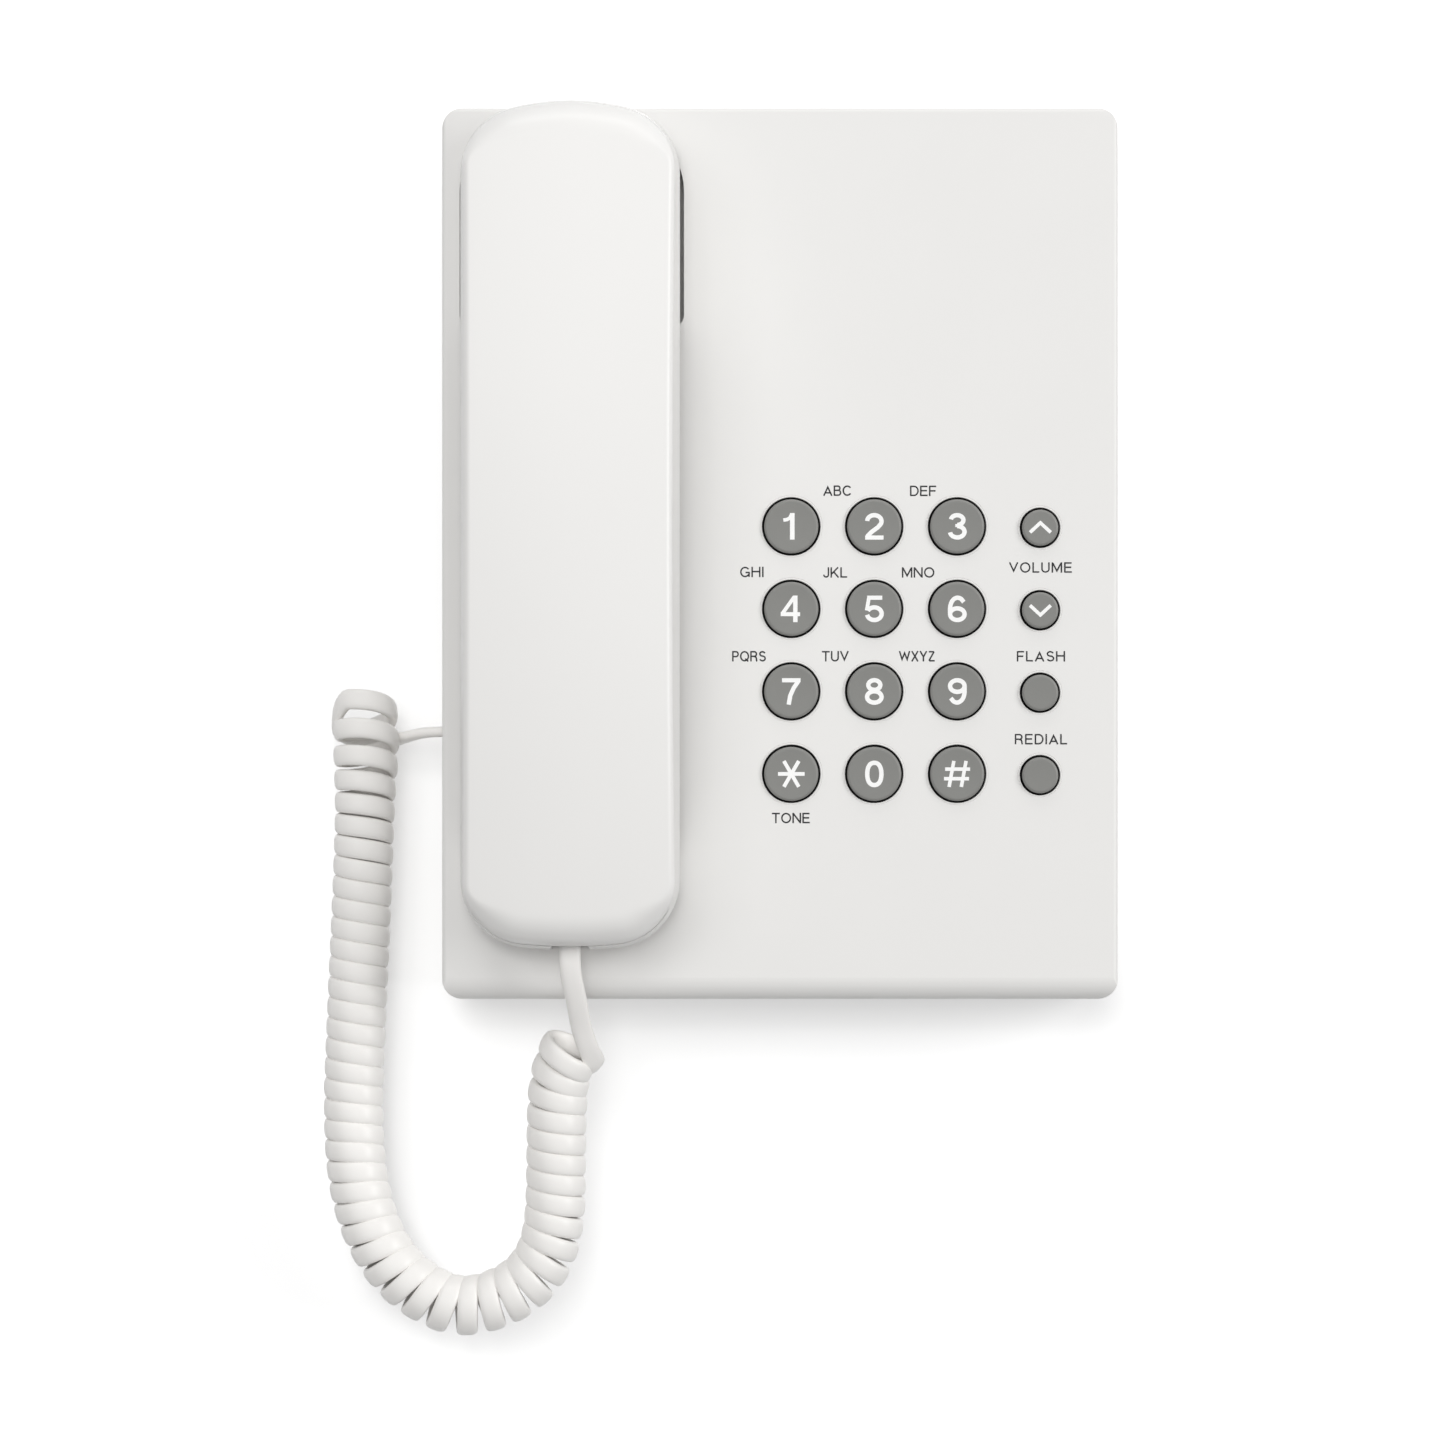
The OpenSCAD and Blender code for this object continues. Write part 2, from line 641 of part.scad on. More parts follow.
module ringer() color(BLACK) hung() translate([ringer_at[0], ringer_at[1], wall]) {
    rim_h = 4;
    cylinder(h = rim_h, r = ringer_r);
    cylinder(h = ringer_h, r = 8);
}

module slide_switch(x, travel) {
    s = switch_body;
    y = board_hi - s[1];
    translate([x + travel / 2 - s[0] / 2, y, board_z - s[2]]) difference() {
        cube(s);
        // the slot in which the knob's root runs
        translate([1.2, s[1] - 2, s[2] / 2 - 1.3]) cube([s[0] - 2.4, 3, 2.6]);
    }
}

module ringer_switch() color(STEEL) hung() slide_switch(ringer_knob_x, ringer_travel);

module dial_switch() color(STEEL) hung() slide_switch(dial_knob_x, dial_travel);

// A knob: the ribbed head in the cover's slot and the root in the switch
module knob(x) {
    root_l = 1.7;
    z = board_z - switch_body[2] / 2;
    tip = base_h / 2 - 0.3;
    translate([x, 0, z]) difference() {
        union() {
            translate([-knob_w / 2, board_hi + seat, -knob_h / 2])
                cube([knob_w, tip - board_hi - seat, knob_h]);
            translate([-1.5, board_hi - root_l, -1]) cube([3, root_l + 1, 2]);
        }
        for (i = [-2:2]) translate([i * 1.2 - 0.25, tip - 0.5, -knob_h]) cube([0.5, 1, 2 * knob_h]);
    }
}

module ringer_knob() color(KEY_GREY) hung() knob(ringer_knob_x);

module dial_knob() color(KEY_GREY) hung() knob(dial_knob_x);

// Six-way line socket, its mouth flush with the inside of the top wall
module line_jack() color(BLACK) hung() translate([line_x, base_h / 2 - wall - seat, line_z]) difference() {
    translate([-line_body[0] / 2, -line_body[1], 0]) cube(line_body);
    translate([-line_socket_w / 2, -socket_depth, 1.8])
        cube([line_socket_w, socket_depth + 1, line_socket_h]);
    // channel for the plug's latch
    translate([-3.2, -socket_depth, 0.6]) cube([6.4, socket_depth + 1, 2]);
}

// Four-way cord socket, drawn with its mouth at y = 0, facing -y; size is width, depth, thickness
module cord_socket(size) {
    difference() {
        translate([-size[0] / 2, 0, -size[2] / 2]) cube(size);
        translate([-plug_w / 2 - plug_room, -1, -plug_h / 2 - plug_room])
            cube([plug_w + 2 * plug_room, plug_l - plug_proud + 1 + seat, plug_h + 2 * plug_room]);
    }
}

// Plug for that socket, drawn in its place
module cord_plug() {
    difference() {
        translate([-plug_w / 2, -plug_proud, -plug_h / 2]) cube([plug_w, plug_l, plug_h]);
        // contact slots
        for (i = [-1.5:1.5]) translate([i * 1.02 - 0.2, plug_l - plug_proud - 3.4, plug_h / 2 - 1.6])
            cube([0.4, 4, 3]);
        // waist behind the latch
        translate([-plug_w, -plug_proud - 1, -plug_h / 2 - 1]) cube([2 * plug_w, 4, 2.2]);
    }
}

// Turns a socket or plug so that it faces the left side, its width standing out of the wall
module facing_left() {
    at_cord_jack() translate([wall + socket_gap, 0, 0]) rotate([-90, -90, 0]) children();
}

module cord_jack() color(BLACK) hung() facing_left() cord_socket(jack_body);

module base_plug() color(CLEAR) hung() facing_left() cord_plug();

// Hook

module hook_button() color(WHITE) hung() translate([handset_x, hook_y, 0]) {
    stem_z = switch_z + switch_h + actuator_h + seat;
    translate([0, 0, hook_flange_z])
        rounded_block(hook_size[0], hook_size[1], well_floor - hook_flange_z, 1.5);
    translate([0, 0, hook_flange_z]) rounded_block(hook_size[0] + 3, hook_size[1] + 4, hook_flange_t, 2);
    translate([0, 0, stem_z]) cylinder(h = hook_flange_z - stem_z + eps, r = hook_stem_r);
}

module hook_switch() color(BLACK) hung() translate([handset_x, hook_y, switch_z]) {
    rounded_block(16, 11, switch_h, 1);
    cylinder(h = switch_h + actuator_h, r = 1.6);
}

// Compression spring between the switch and the button's flange
module hook_spring() color(STEEL) hung() {
    z0 = switch_z + switch_h + seat + spring_wire / 2;
    z1 = hook_flange_z - seat - spring_wire / 2;
    steps = 12 * spring_turns;
    r = spring_d / 2 - spring_wire / 2;
    coil = [for (i = [0:steps])
        [handset_x + r * cos(30 * i), hook_y + r * sin(30 * i), z0 + (z1 - z0) * i / steps]];
    sweep(coil, spring_wire / 2, spring_wire / 2, 6, [0, 0, 1]);
}

// Reversible tab: its lip leans out so that the handset's notch hangs on it
module hanger_tab() color(WHITE) hung() translate([handset_x, tab_y, 0]) rotate([90, 0, 90])
    linear_extrude(tab_w, center = true) {
        lip = tab_out * lift_slope;
        half = tab_t / 2;
        polygon([[-half, well_floor - wall - tab_in], [half, well_floor - wall - tab_in], [half, well_floor],
                 [half + lip, well_floor + tab_out], [half + lip - 1.5, well_floor + tab_out],
                 [-half, well_floor + 1.2]]);
    }

// Handset

module handset_plan(t) {
    half = handset_w / 2 - t;
    reach = handset_l / 2 - t;
    translate([handset_x, handset_mid]) {
        arch(half, reach, top_end_r - t, end_corner_r - t);
        mirror([0, 1]) arch(half, reach, bottom_end_r - t, end_corner_r - t);
    }
}

// The crown side, down to the seam, with the wall thickness t taken off
module crown_block(t) {
    under = 0.1;
    top = crown_h - handset_seam - t + under;
    seam = face + handset_seam;
    intersection() {
        translate([0, 0, seam]) linear_extrude(top + 1) handset_plan(t);
        translate([0, handset_mid, seam - under]) rotate([90, 0, 90]) translate([0, 0, handset_x])
            linear_extrude(handset_w + 2, center = true)
                arch(handset_l / 2 - t, top, crown_long_r - t, end_edge_r - t, end_lean);
        translate([handset_x, 0, seam - under]) rotate([90, 0, 0]) translate([0, 0, -handset_mid])
            linear_extrude(handset_l + 2, center = true)
                arch(handset_w / 2 - t, top, crown_cross_r - t, crown_edge_r - t, side_lean);
    }
}

// Outline of the base side from the side: [along the handset, height over the face], going
// round from the seam at the mouthpiece end
function base_side(seam) = [
    [handset_hi, seam],
    [handset_lo, seam],
    [handset_lo + 0.6, 3],
    [mouth_block_lo, skirt_h],
    [mouth_block_lo, -block_drop],
    [mouth_block_hi - block_drop * lift_slope, -block_drop],
    [mouth_block_hi + 1.5 * lift_slope, 1.5],
    [mouth_block_hi + slope_run + 1, grip_gap],
    [ear_block_lo - slope_run, grip_gap],
    [ear_block_lo, 1.5],
    [ear_block_lo, -block_drop],
    [ear_block_hi - block_drop * lift_slope, -block_drop],
    [ear_block_hi + skirt_h * lift_slope, skirt_h],
    [handset_hi - 0.8, 5]];

// The base side, up to the seam, with the wall thickness t taken off
module base_side_block(t) {
    deep = block_drop + handset_seam - t;
    intersection() {
        translate([0, 0, face - block_drop]) linear_extrude(block_drop + handset_seam) handset_plan(t);
        translate([0, 0, face]) rotate([90, 0, 90]) translate([0, 0, handset_x])
            linear_extrude(handset_w, center = true) polygon(inset(base_side(handset_seam + t), t));
        translate([handset_x, 0, face + handset_seam]) rotate([90, 0, 0]) translate([0, 0, -handset_mid])
            linear_extrude(handset_l, center = true)
                mirror([0, 1]) leaning(handset_w / 2 - t, deep, skirt_r - t / 2, skirt_lean);
    }
}

// Cuts the corner of a block at the half width `side` and at y, which lies towards `inward`. The
// cut stands square to the face, or leans along the lift path.
module corner_trim(side, y, inward, r, lean = 0) {
    reach = 2 * block_drop;
    translate([side * face_half, y, 0]) rotate([-lean, 0, 0]) linear_extrude(2 * reach, center = true)
        difference() {
            translate([side * (1 - r / 2), inward * (r / 2 - 1)]) square(r + 2, center = true);
            translate([-side * r, inward * r]) circle(r);
        }
}

// The blocks in the wells have rounded corners. Those that pass the wells' upper walls are cut
// along the lift path.
module block_trims() translate([handset_x, 0, face]) intersection() {
    translate([-handset_w / 2, handset_lo, -block_drop - 1])
        cube([handset_w, handset_l, block_drop + 1 + skirt_h]);
    for (side = [-1, 1]) {
        corner_trim(side, ear_block_lo, 1, block_corner_r);
        corner_trim(side, ear_block_hi, -1, block_end_r, lift_angle);
        corner_trim(side, mouth_block_lo, 1, block_end_r);
        corner_trim(side, mouth_block_hi, -1, block_corner_r, lift_angle);
    }
}

module handset_opening() {
    translate([handset_x, handset_lo, handset_jack_z])
        cube([plug_w + 0.4, 4 * shell + 2, plug_h + 0.6], center = true);
}

module handset_back() color(WHITE) hung() difference() {
    union() {
        difference() {
            crown_block(0);
            crown_block(shell);
        }
        for (y = grip_screws) {
            crown = face + crown_h - (y - handset_mid) ^ 2 / (2 * crown_long_r);
            translate([handset_x, y, handset_post_z])
                cylinder(h = crown - shell / 2 - handset_post_z, r = 3.2);
        }
    }
    for (y = grip_screws) translate([handset_x, y, handset_post_z - 1])
        cylinder(h = 10, r = case_screw_r + 0.05);
    handset_opening();
}

// Notch in the receiver end that hangs on the tab; its ceiling runs along the lift path
module tab_notch(grow) {
    deep = tab_out + 1 + grow;
    hi = tab_t / 2 + seat / cos(lift_angle) + grow;
    translate([handset_x, tab_y, face - block_drop - eps]) rotate([90, 0, 90])
        linear_extrude(tab_w + 1 + 2 * grow, center = true)
            polygon([[-tab_t / 2 - 0.9 - grow, 0], [hi + seat * lift_slope, 0],
                     [hi + seat * lift_slope + deep * lift_slope, deep], [-tab_t / 2 - 0.9 - grow, deep]]);
}

module sound_holes(r, rings, pitch) {
    translate([0, 0, -1]) cylinder(h = 2 * shell + 2, r = r);
    for (k = [1:rings], i = [0:6 * k - 1]) rotate(60 * i / k) translate([pitch * k, 0, -1])
        cylinder(h = 2 * shell + 2, r = r, $fn = 24);
}

module handset_front() color(WHITE) hung() difference() {
    union() {
        difference() {
            base_side_block(0);
            base_side_block(shell);
            block_trims();
        }
        // tongue inside the crown's rim
        difference() {
            translate([0, 0, face + handset_seam - 1]) linear_extrude(2.2) difference() {
                handset_plan(shell + slip + 0.2);
                handset_plan(shell + slip + 1.2);
            }
            translate([handset_x, handset_lo, handset_jack_z])
                cube([handset_jack_body[0] + 1.2, 12, 12], center = true);
        }
        // seats of the screws
        for (y = grip_screws) translate([handset_x, y, face + grip_gap + 0.5])
            cylinder(h = handset_post_z - face - grip_gap - 0.5, r = 4.2);
        // collar round the receiver
        intersection() {
            translate([handset_x, receiver_y, ear_floor - 0.5]) difference() {
                cylinder(h = 5.5, r = receiver_r + 1.3);
                translate([0, 0, -1]) cylinder(h = 8, r = receiver_r + 0.1);
            }
            base_side_block(shell / 2);
        }
        intersection() {
            tab_notch(1.2);
            base_side_block(shell / 2);
        }
        // ribs that hold the weight
        for (x = [-1, 1])
            translate([handset_x + x * (weight_size[0] / 2 + 0.7) - 0.6, weight_y - 24, grip_floor - 0.5])
                cube([1.2, 48, 3]);
    }
    tab_notch(0);
    for (y = grip_screws) translate([handset_x, y, face]) {
        cylinder(h = handset_head_z - face, r = case_head_r + 0.3);
        cylinder(h = handset_post_z, r = case_screw_r + 0.25);
    }
    translate([handset_x, receiver_y, face - block_drop]) sound_holes(0.9, 2, 3.6);
    translate([handset_x, mic_y, face - block_drop]) sound_holes(0.7, 1, 2.2);
    handset_opening();
}

module handset_screws() color(STEEL) hung()
    for (y = grip_screws) translate([handset_x, y, handset_head_z]) screw(case_head_r, 1.5, case_screw_r, 11);

module handset_weight() color(STEEL) hung()
    translate([handset_x - weight_size[0] / 2, weight_y - weight_size[1] / 2, grip_floor])
        cube(weight_size);

module handset_jack() color(BLACK) hung()
    translate([handset_x, handset_lo + shell + mouth_gap, handset_jack_z]) cord_socket(handset_jack_body);

module handset_plug() color(CLEAR) hung()
    translate([handset_x, handset_lo + shell + mouth_gap, handset_jack_z]) cord_plug();

// A row of wires along one route, side by side in the direction `row`
module wires(route, count, row) {
    for (k = [0:count - 1])
        sweep([for (p = route) p + (k - (count - 1) / 2) * wire_pitch * row], wire_r, wire_r, 6, row);
}

module handset_wires() color(WIRE_RED) hung() translate([handset_x, 0, 0]) {
    wires(receiver_wires, 2, [1, 0, 0]);
    wires(microphone_wires, 2, [1, 0, 0]);
}

module base_wires() color(WIRE_RED) hung() {
    wires(cord_wires, 4, [0, 1, 0]);
    wires(hook_wires, 2, [0, 1, 0]);
    wires(ringer_wires, 2, [1, 0, 0]);
}

module receiver_ring() color(RUBBER) hung() translate([handset_x, receiver_y, ear_floor]) difference() {
    cylinder(h = ring_t, r = receiver_r);
    translate([0, 0, -1]) cylinder(h = ring_t + 2, r = receiver_r - 3.5);
}

module receiver() color(BLACK) hung() translate([handset_x, receiver_y, ear_floor + ring_t]) {
    cylinder(h = receiver_h - 3, r = receiver_r);
    cylinder(h = receiver_h, r = receiver_r - 5);
}

module mic_boot() color(RUBBER) hung() translate([handset_x, mic_y, ear_floor]) difference() {
    cylinder(h = boot_floor + mic_h, r = mic_r + boot_t);
    translate([0, 0, boot_floor]) cylinder(h = mic_h + 1, r = mic_r);
    translate([0, 0, -1]) cylinder(h = boot_floor + 2, r = 1.2);
}

module microphone() color(STEEL) hung() translate([handset_x, mic_y, ear_floor + boot_floor])
    cylinder(h = mic_h, r = mic_r);

// Cord

module cord_coil() color(WHITE) hung() sweep(coil_route, coil_d / 2, coil_d / 2, 12, [0, 0, 1]);

module cord_lead_base() color(WHITE) hung() {
    tail = [-base_w / 2 + wall + socket_gap - plug_proud, cord_jack_y, cord_jack_z];
    sweep(concat([tail], base_lead), cord_w / 2, cord_t / 2, 8, [0, 0, 1]);
}

module cord_lead_handset() color(WHITE) hung() {
    tail = [handset_x, handset_lo + shell + mouth_gap - plug_proud, handset_jack_z];
    sweep(concat([tail], handset_lead), cord_w / 2, cord_t / 2, 8, [1, 0, 0]);
}

// Keys

// A hollow moulded key with a flange that keeps it in the cover and a plunger for its dome
module key(d) hung() {
    h = face + key_rise - flange_z;
    translate([0, 0, flange_z]) difference() {
        union() {
            rotate_extrude() intersection() {
                arch(d / 2, h, key_dome_r, key_edge_r);
                square([d, h + 1]);
            }
            cylinder(h = flange_t, r = d / 2 + flange_reach);
        }
        translate([0, 0, -1]) difference() {
            cylinder(h = h - key_wall, r = d / 2 - key_wall);
            cylinder(h = h, r = 1.5);
        }
    }
}

module big_key(i) color(KEY_GREY) translate([big_places[i][0], 0, big_places[i][1]]) key(key_d);

module small_key(i) color(KEY_GREY) translate([small_places[i][0], 0, small_places[i][1]]) key(small_key_d);

// The phone

top_cover();
back_cover();
rubber_feet();
cover_screws();
main_board();
board_screws();
board_parts();
key_mat();
ringer();
ringer_switch();
dial_switch();
line_jack();
cord_jack();
hook_switch();
hook_spring();
hanger_tab();
hook_button();
ringer_knob();
dial_knob();
for (i = [0:len(BIG_KEYS) - 1]) big_key(i);
for (i = [0:len(SMALL_KEYS) - 1]) small_key(i);
handset_back();
handset_front();
handset_screws();
handset_weight();
handset_jack();
receiver();
receiver_ring();
microphone();
mic_boot();
handset_wires();
base_wires();
handset_plug();
base_plug();
cord_coil();
cord_lead_base();
cord_lead_handset();
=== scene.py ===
import math

import bmesh
import bpy
import numpy as np
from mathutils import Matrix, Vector


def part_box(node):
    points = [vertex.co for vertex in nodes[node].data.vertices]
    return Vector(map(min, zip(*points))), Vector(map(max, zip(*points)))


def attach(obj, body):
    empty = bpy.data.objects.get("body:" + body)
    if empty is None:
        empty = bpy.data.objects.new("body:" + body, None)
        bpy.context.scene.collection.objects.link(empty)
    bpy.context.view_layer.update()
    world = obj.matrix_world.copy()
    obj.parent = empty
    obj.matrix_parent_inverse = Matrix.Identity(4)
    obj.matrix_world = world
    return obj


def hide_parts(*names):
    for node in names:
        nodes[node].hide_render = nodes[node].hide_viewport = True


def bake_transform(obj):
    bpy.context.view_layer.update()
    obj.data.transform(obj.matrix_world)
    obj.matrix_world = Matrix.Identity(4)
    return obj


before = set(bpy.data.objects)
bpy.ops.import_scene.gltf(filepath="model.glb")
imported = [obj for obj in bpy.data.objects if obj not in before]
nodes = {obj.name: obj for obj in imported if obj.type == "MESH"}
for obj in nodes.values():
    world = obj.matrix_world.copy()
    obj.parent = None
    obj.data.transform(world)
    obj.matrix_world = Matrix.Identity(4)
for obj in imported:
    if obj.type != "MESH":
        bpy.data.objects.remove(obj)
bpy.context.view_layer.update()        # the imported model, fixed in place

scene = bpy.context.scene
mm = 0.001


# camera

camera = {
    "place": (-0.01276, -1.134, -0.0374),  # level with the middle of the view
    "lens": 123.5,
    "sensor": 36,
}


def makeCamera():
    data = bpy.data.cameras.new("camera")
    data.lens = camera["lens"]
    data.sensor_width = camera["sensor"]
    data.clip_start, data.clip_end = 0.01, 20
    seen = bpy.data.objects.new("camera", data)
    seen.location = camera["place"]
    seen.rotation_euler = (math.radians(90), 0, 0)
    scene.collection.objects.link(seen)
    scene.camera = seen


makeCamera()
print("camera made")


# shared mesh helpers

def makePiece(name, points, faces, smooth=True):
    mesh = bpy.data.meshes.new(name)
    mesh.from_pydata([tuple(p) for p in points], [], [tuple(f) for f in faces])
    bm = bmesh.new()
    bm.from_mesh(mesh)
    bmesh.ops.remove_doubles(bm, verts=bm.verts, dist=1e-7)
    bmesh.ops.recalc_face_normals(bm, faces=bm.faces)
    bm.to_mesh(mesh)
    bm.free()
    mesh.polygons.foreach_set("use_smooth", [smooth] * len(mesh.polygons))
    piece = bpy.data.objects.new(name, mesh)
    scene.collection.objects.link(piece)
    return piece


def gridFaces(rows, across, loopRows=False, loopAcross=True, first=0):
    faces = []
    for i in range(rows if loopRows else rows - 1):
        a, b = first + i * across, first + (i + 1) % rows * across
        for k in range(across if loopAcross else across - 1):
            beside = (k + 1) % across
            faces.append((a + k, a + beside, b + beside, b + k))
    return faces


def middleOf(name):  # right and up
    low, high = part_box(name)
    return (low.x + high.x) / 2, (low.z + high.z) / 2


def unit(v):
    v = np.asarray(v, float)
    return v / np.linalg.norm(v, axis=-1, keepdims=True)


def onWall(points):  # drawn as right, up the wall, out of it, in mm
    p = np.asarray(points, float)
    return np.stack([p[..., 0], -p[..., 2], p[..., 1]], -1) * mm


def throughPoints(points, step, samples=3):  # centripetal spline, resampled at even steps
    p = np.asarray(points, float)
    p = np.vstack([2 * p[0] - p[1], p, 2 * p[-1] - p[-2]])
    line = []
    for a, b, c, d in zip(p, p[1:], p[2:], p[3:]):
        gaps = [np.linalg.norm(y - x) ** 0.5 + 1e-9 for x, y in ((a, b), (b, c), (c, d))]
        t0, t1, t2, t3 = np.cumsum([0] + gaps)
        count = max(4, int(np.linalg.norm(c - b) / step * samples))
        t = np.linspace(t1, t2, count, endpoint=False)[:, None]
        ab = (t1 - t) / (t1 - t0) * a + (t - t0) / (t1 - t0) * b
        bc = (t2 - t) / (t2 - t1) * b + (t - t1) / (t2 - t1) * c
        cd = (t3 - t) / (t3 - t2) * c + (t - t2) / (t3 - t2) * d
        abc = (t2 - t) / (t2 - t0) * ab + (t - t0) / (t2 - t0) * bc
        bcd = (t3 - t) / (t3 - t1) * bc + (t - t1) / (t3 - t1) * cd
        line.append((t2 - t) / (t2 - t1) * abc + (t - t1) / (t2 - t1) * bcd)
    return evenSteps(np.vstack(line + [p[-2:-1]]), step)


def runAlong(line):
    return np.concatenate([[0], np.cumsum(np.linalg.norm(np.diff(line, axis=0), axis=1))])


def evenSteps(line, step):
    run = runAlong(line)
    return at(line, run, np.linspace(0, run[-1], max(2, round(run[-1] / step)) + 1))


def at(line, run, marks):
    return np.stack([np.interp(marks, run, line[:, k]) for k in range(line.shape[1])], -1)


def softened(line, passes):
    line = line.copy()
    for _ in range(passes):
        line[1:-1] = (line[:-2] + 2 * line[1:-1] + line[2:]) / 4
    return line


# cord

cord = {
    "width": 4.7, "thickness": 2.4, "roundness": 2.7,
    "radius": 5.55,          # of the coil's centreline
    "wider": (0.75, 9, 10),  # the first turns: by how much, where along the coil, over what length
    "turns": 46,
    "startAngle": 36,        # of the first turn, from the front round to the left
    "endAngle": 176,         # of the last turn, from the front round to the right
    "pitch": 4.9,
    "pitchAtBase": (3.4, 12),    # wider spacing at either end: by how much, over what length
    "pitchAtHandset": (0.9, 9),
    "pitchInBend": (0.75, -150, 18),  # and below this height, fading in over the last length
    "ringsPerTurn": 24,
    "sides": 18, "step": 1.15,
    "axisStep": 0.5, "axisPasses": 40,   # the coil's own line, and how often it is smoothed
    "facingPasses": 2,
    "length": 1.72,
    "coil": [
        (-93.8, -32.6, 12.2), (-93.2, -38, 14.2), (-93.2, -44.5, 15), (-93.7, -65, 15), (-94.5, -85, 15),
        (-95.4, -105, 15), (-96, -125, 15), (-95, -140, 16), (-92, -151, 17), (-87, -159.5, 18),
        (-80, -165.5, 19), (-72, -168.5, 20), (-64, -167, 21), (-57, -163, 22), (-52.5, -157, 23),
        (-50.5, -149, 24), (-50, -138, 25), (-49.8, -125, 26), (-49.4, -118.5, 26.5),
        (-48.4, -114, 27.4), (-46.8, -110.6, 29.2),
    ],
    "firstTurn": 0.7,        # where the first turn starts along the coil
    "lastTurn": (-46.6, -109.9, 30),  # where the last turn ends, past the coil's last point
    "faceAtBase": ((0.1, -0.3, -1), 40),      # which way the turns at each end face, fading
    "faceAtHandset": ((0.52, -0.1, 1), 14),   # into the coil's own line over this length
    # each lead: right, up, out, and the way its flat side faces
    "baseLead": [
        (-76, -39.5, 15, 0, 1, 0), (-80, -39.7, 14.2, 0, 1, 0), (-85, -40.8, 11.5, 0.1, 1, 0),
        (-88.5, -41.5, 8.8, 0.1, 1, -0.5), (-93.5, -41.6, 5.6, 0, 0.7, -1),
        (-97.6, -40.2, 7, -0.8, 0.2, -0.8),
        (-99.9, -38.6, 10.2, -1, 0, -0.1), (-99.5, -34.9, 13.6, -0.95, 0.1, 0.3),
    ],
    "handsetLead": [
        (-43.2, -110.2, 25.4, 0.5, 0.1, -0.9), (-41.4, -112.3, 26.2, 0.8, -0.3, -0.5),
        (-40.9, -113.6, 28.2, 0.74, -0.67, 0), (-41.3, -112.9, 30.6, 0.5, -0.6, 0.6),
        (-42.4, -110, 33.6, 0.1, -0.3, 1), (-43.9, -105, 37, 0, 0, 1),
        (-45, -98.5, 41.6, 0, 0, 1), (-45.9, -93.6, 44.6, 0, 0, 1), (-46.2, -90, 46, 0, 0, 1),
    ],
}


def coilLine():
    drawn = onWall(cord["coil"] + [cord["lastTurn"]])
    axis = softened(throughPoints(drawn, cord["axisStep"] * mm), cord["axisPasses"])
    run = runAlong(axis)
    ahead = unit(np.gradient(axis, axis=0))
    toEnd = run[-1] - run
    for fromEnd, (face, over) in ((run, cord["faceAtBase"]), (toEnd, cord["faceAtHandset"])):
        share = np.clip(1 - fromEnd / mm / over, 0, 1)[:, None]
        ahead = unit(ahead + share * (unit(face) - ahead))
    front = [Vector((0, -1, 0))]
    for t in ahead:  # carried along the line without twist
        t = Vector(t)
        front.append((front[-1] - t * front[-1].dot(t)).normalized())
    front = np.array([tuple(v) for v in front[1:]])
    side = np.cross(ahead, front)
    bulge, bulgeAt, bulgeOver = cord["wider"]
    low, bendHeight, over = cord["pitchInBend"]
    pitch = cord["pitch"] + low * np.clip((bendHeight - axis[:, 2] / mm) / over, 0, 1)
    for fromEnd, (more, over) in ((run, cord["pitchAtBase"]), (toEnd, cord["pitchAtHandset"])):
        pitch += more * np.exp(-fromEnd / mm / over)
    turned = np.concatenate([[0], np.cumsum(np.diff(run) / (0.5 * (pitch[1:] + pitch[:-1])))])
    turned -= np.interp(cord["firstTurn"] * mm, run, turned)
    whole = cord["turns"] + (cord["startAngle"] - cord["endAngle"]) / 360
    turned *= whole / turned[-1]
    marks = np.interp(np.linspace(0, whole, round(whole * cord["ringsPerTurn"])), turned, run)
    angle = np.radians(cord["startAngle"]) - 2 * np.pi * np.interp(marks, run, turned)
    out = np.cos(angle)[:, None] * at(front, run, marks)
    out = unit(out + np.sin(angle)[:, None] * at(side, run, marks))
    radius = cord["radius"] + bulge * np.exp(-(((marks / mm - bulgeAt) / bulgeOver) ** 2))
    return at(axis, run, marks) + radius[:, None] * mm * out, out


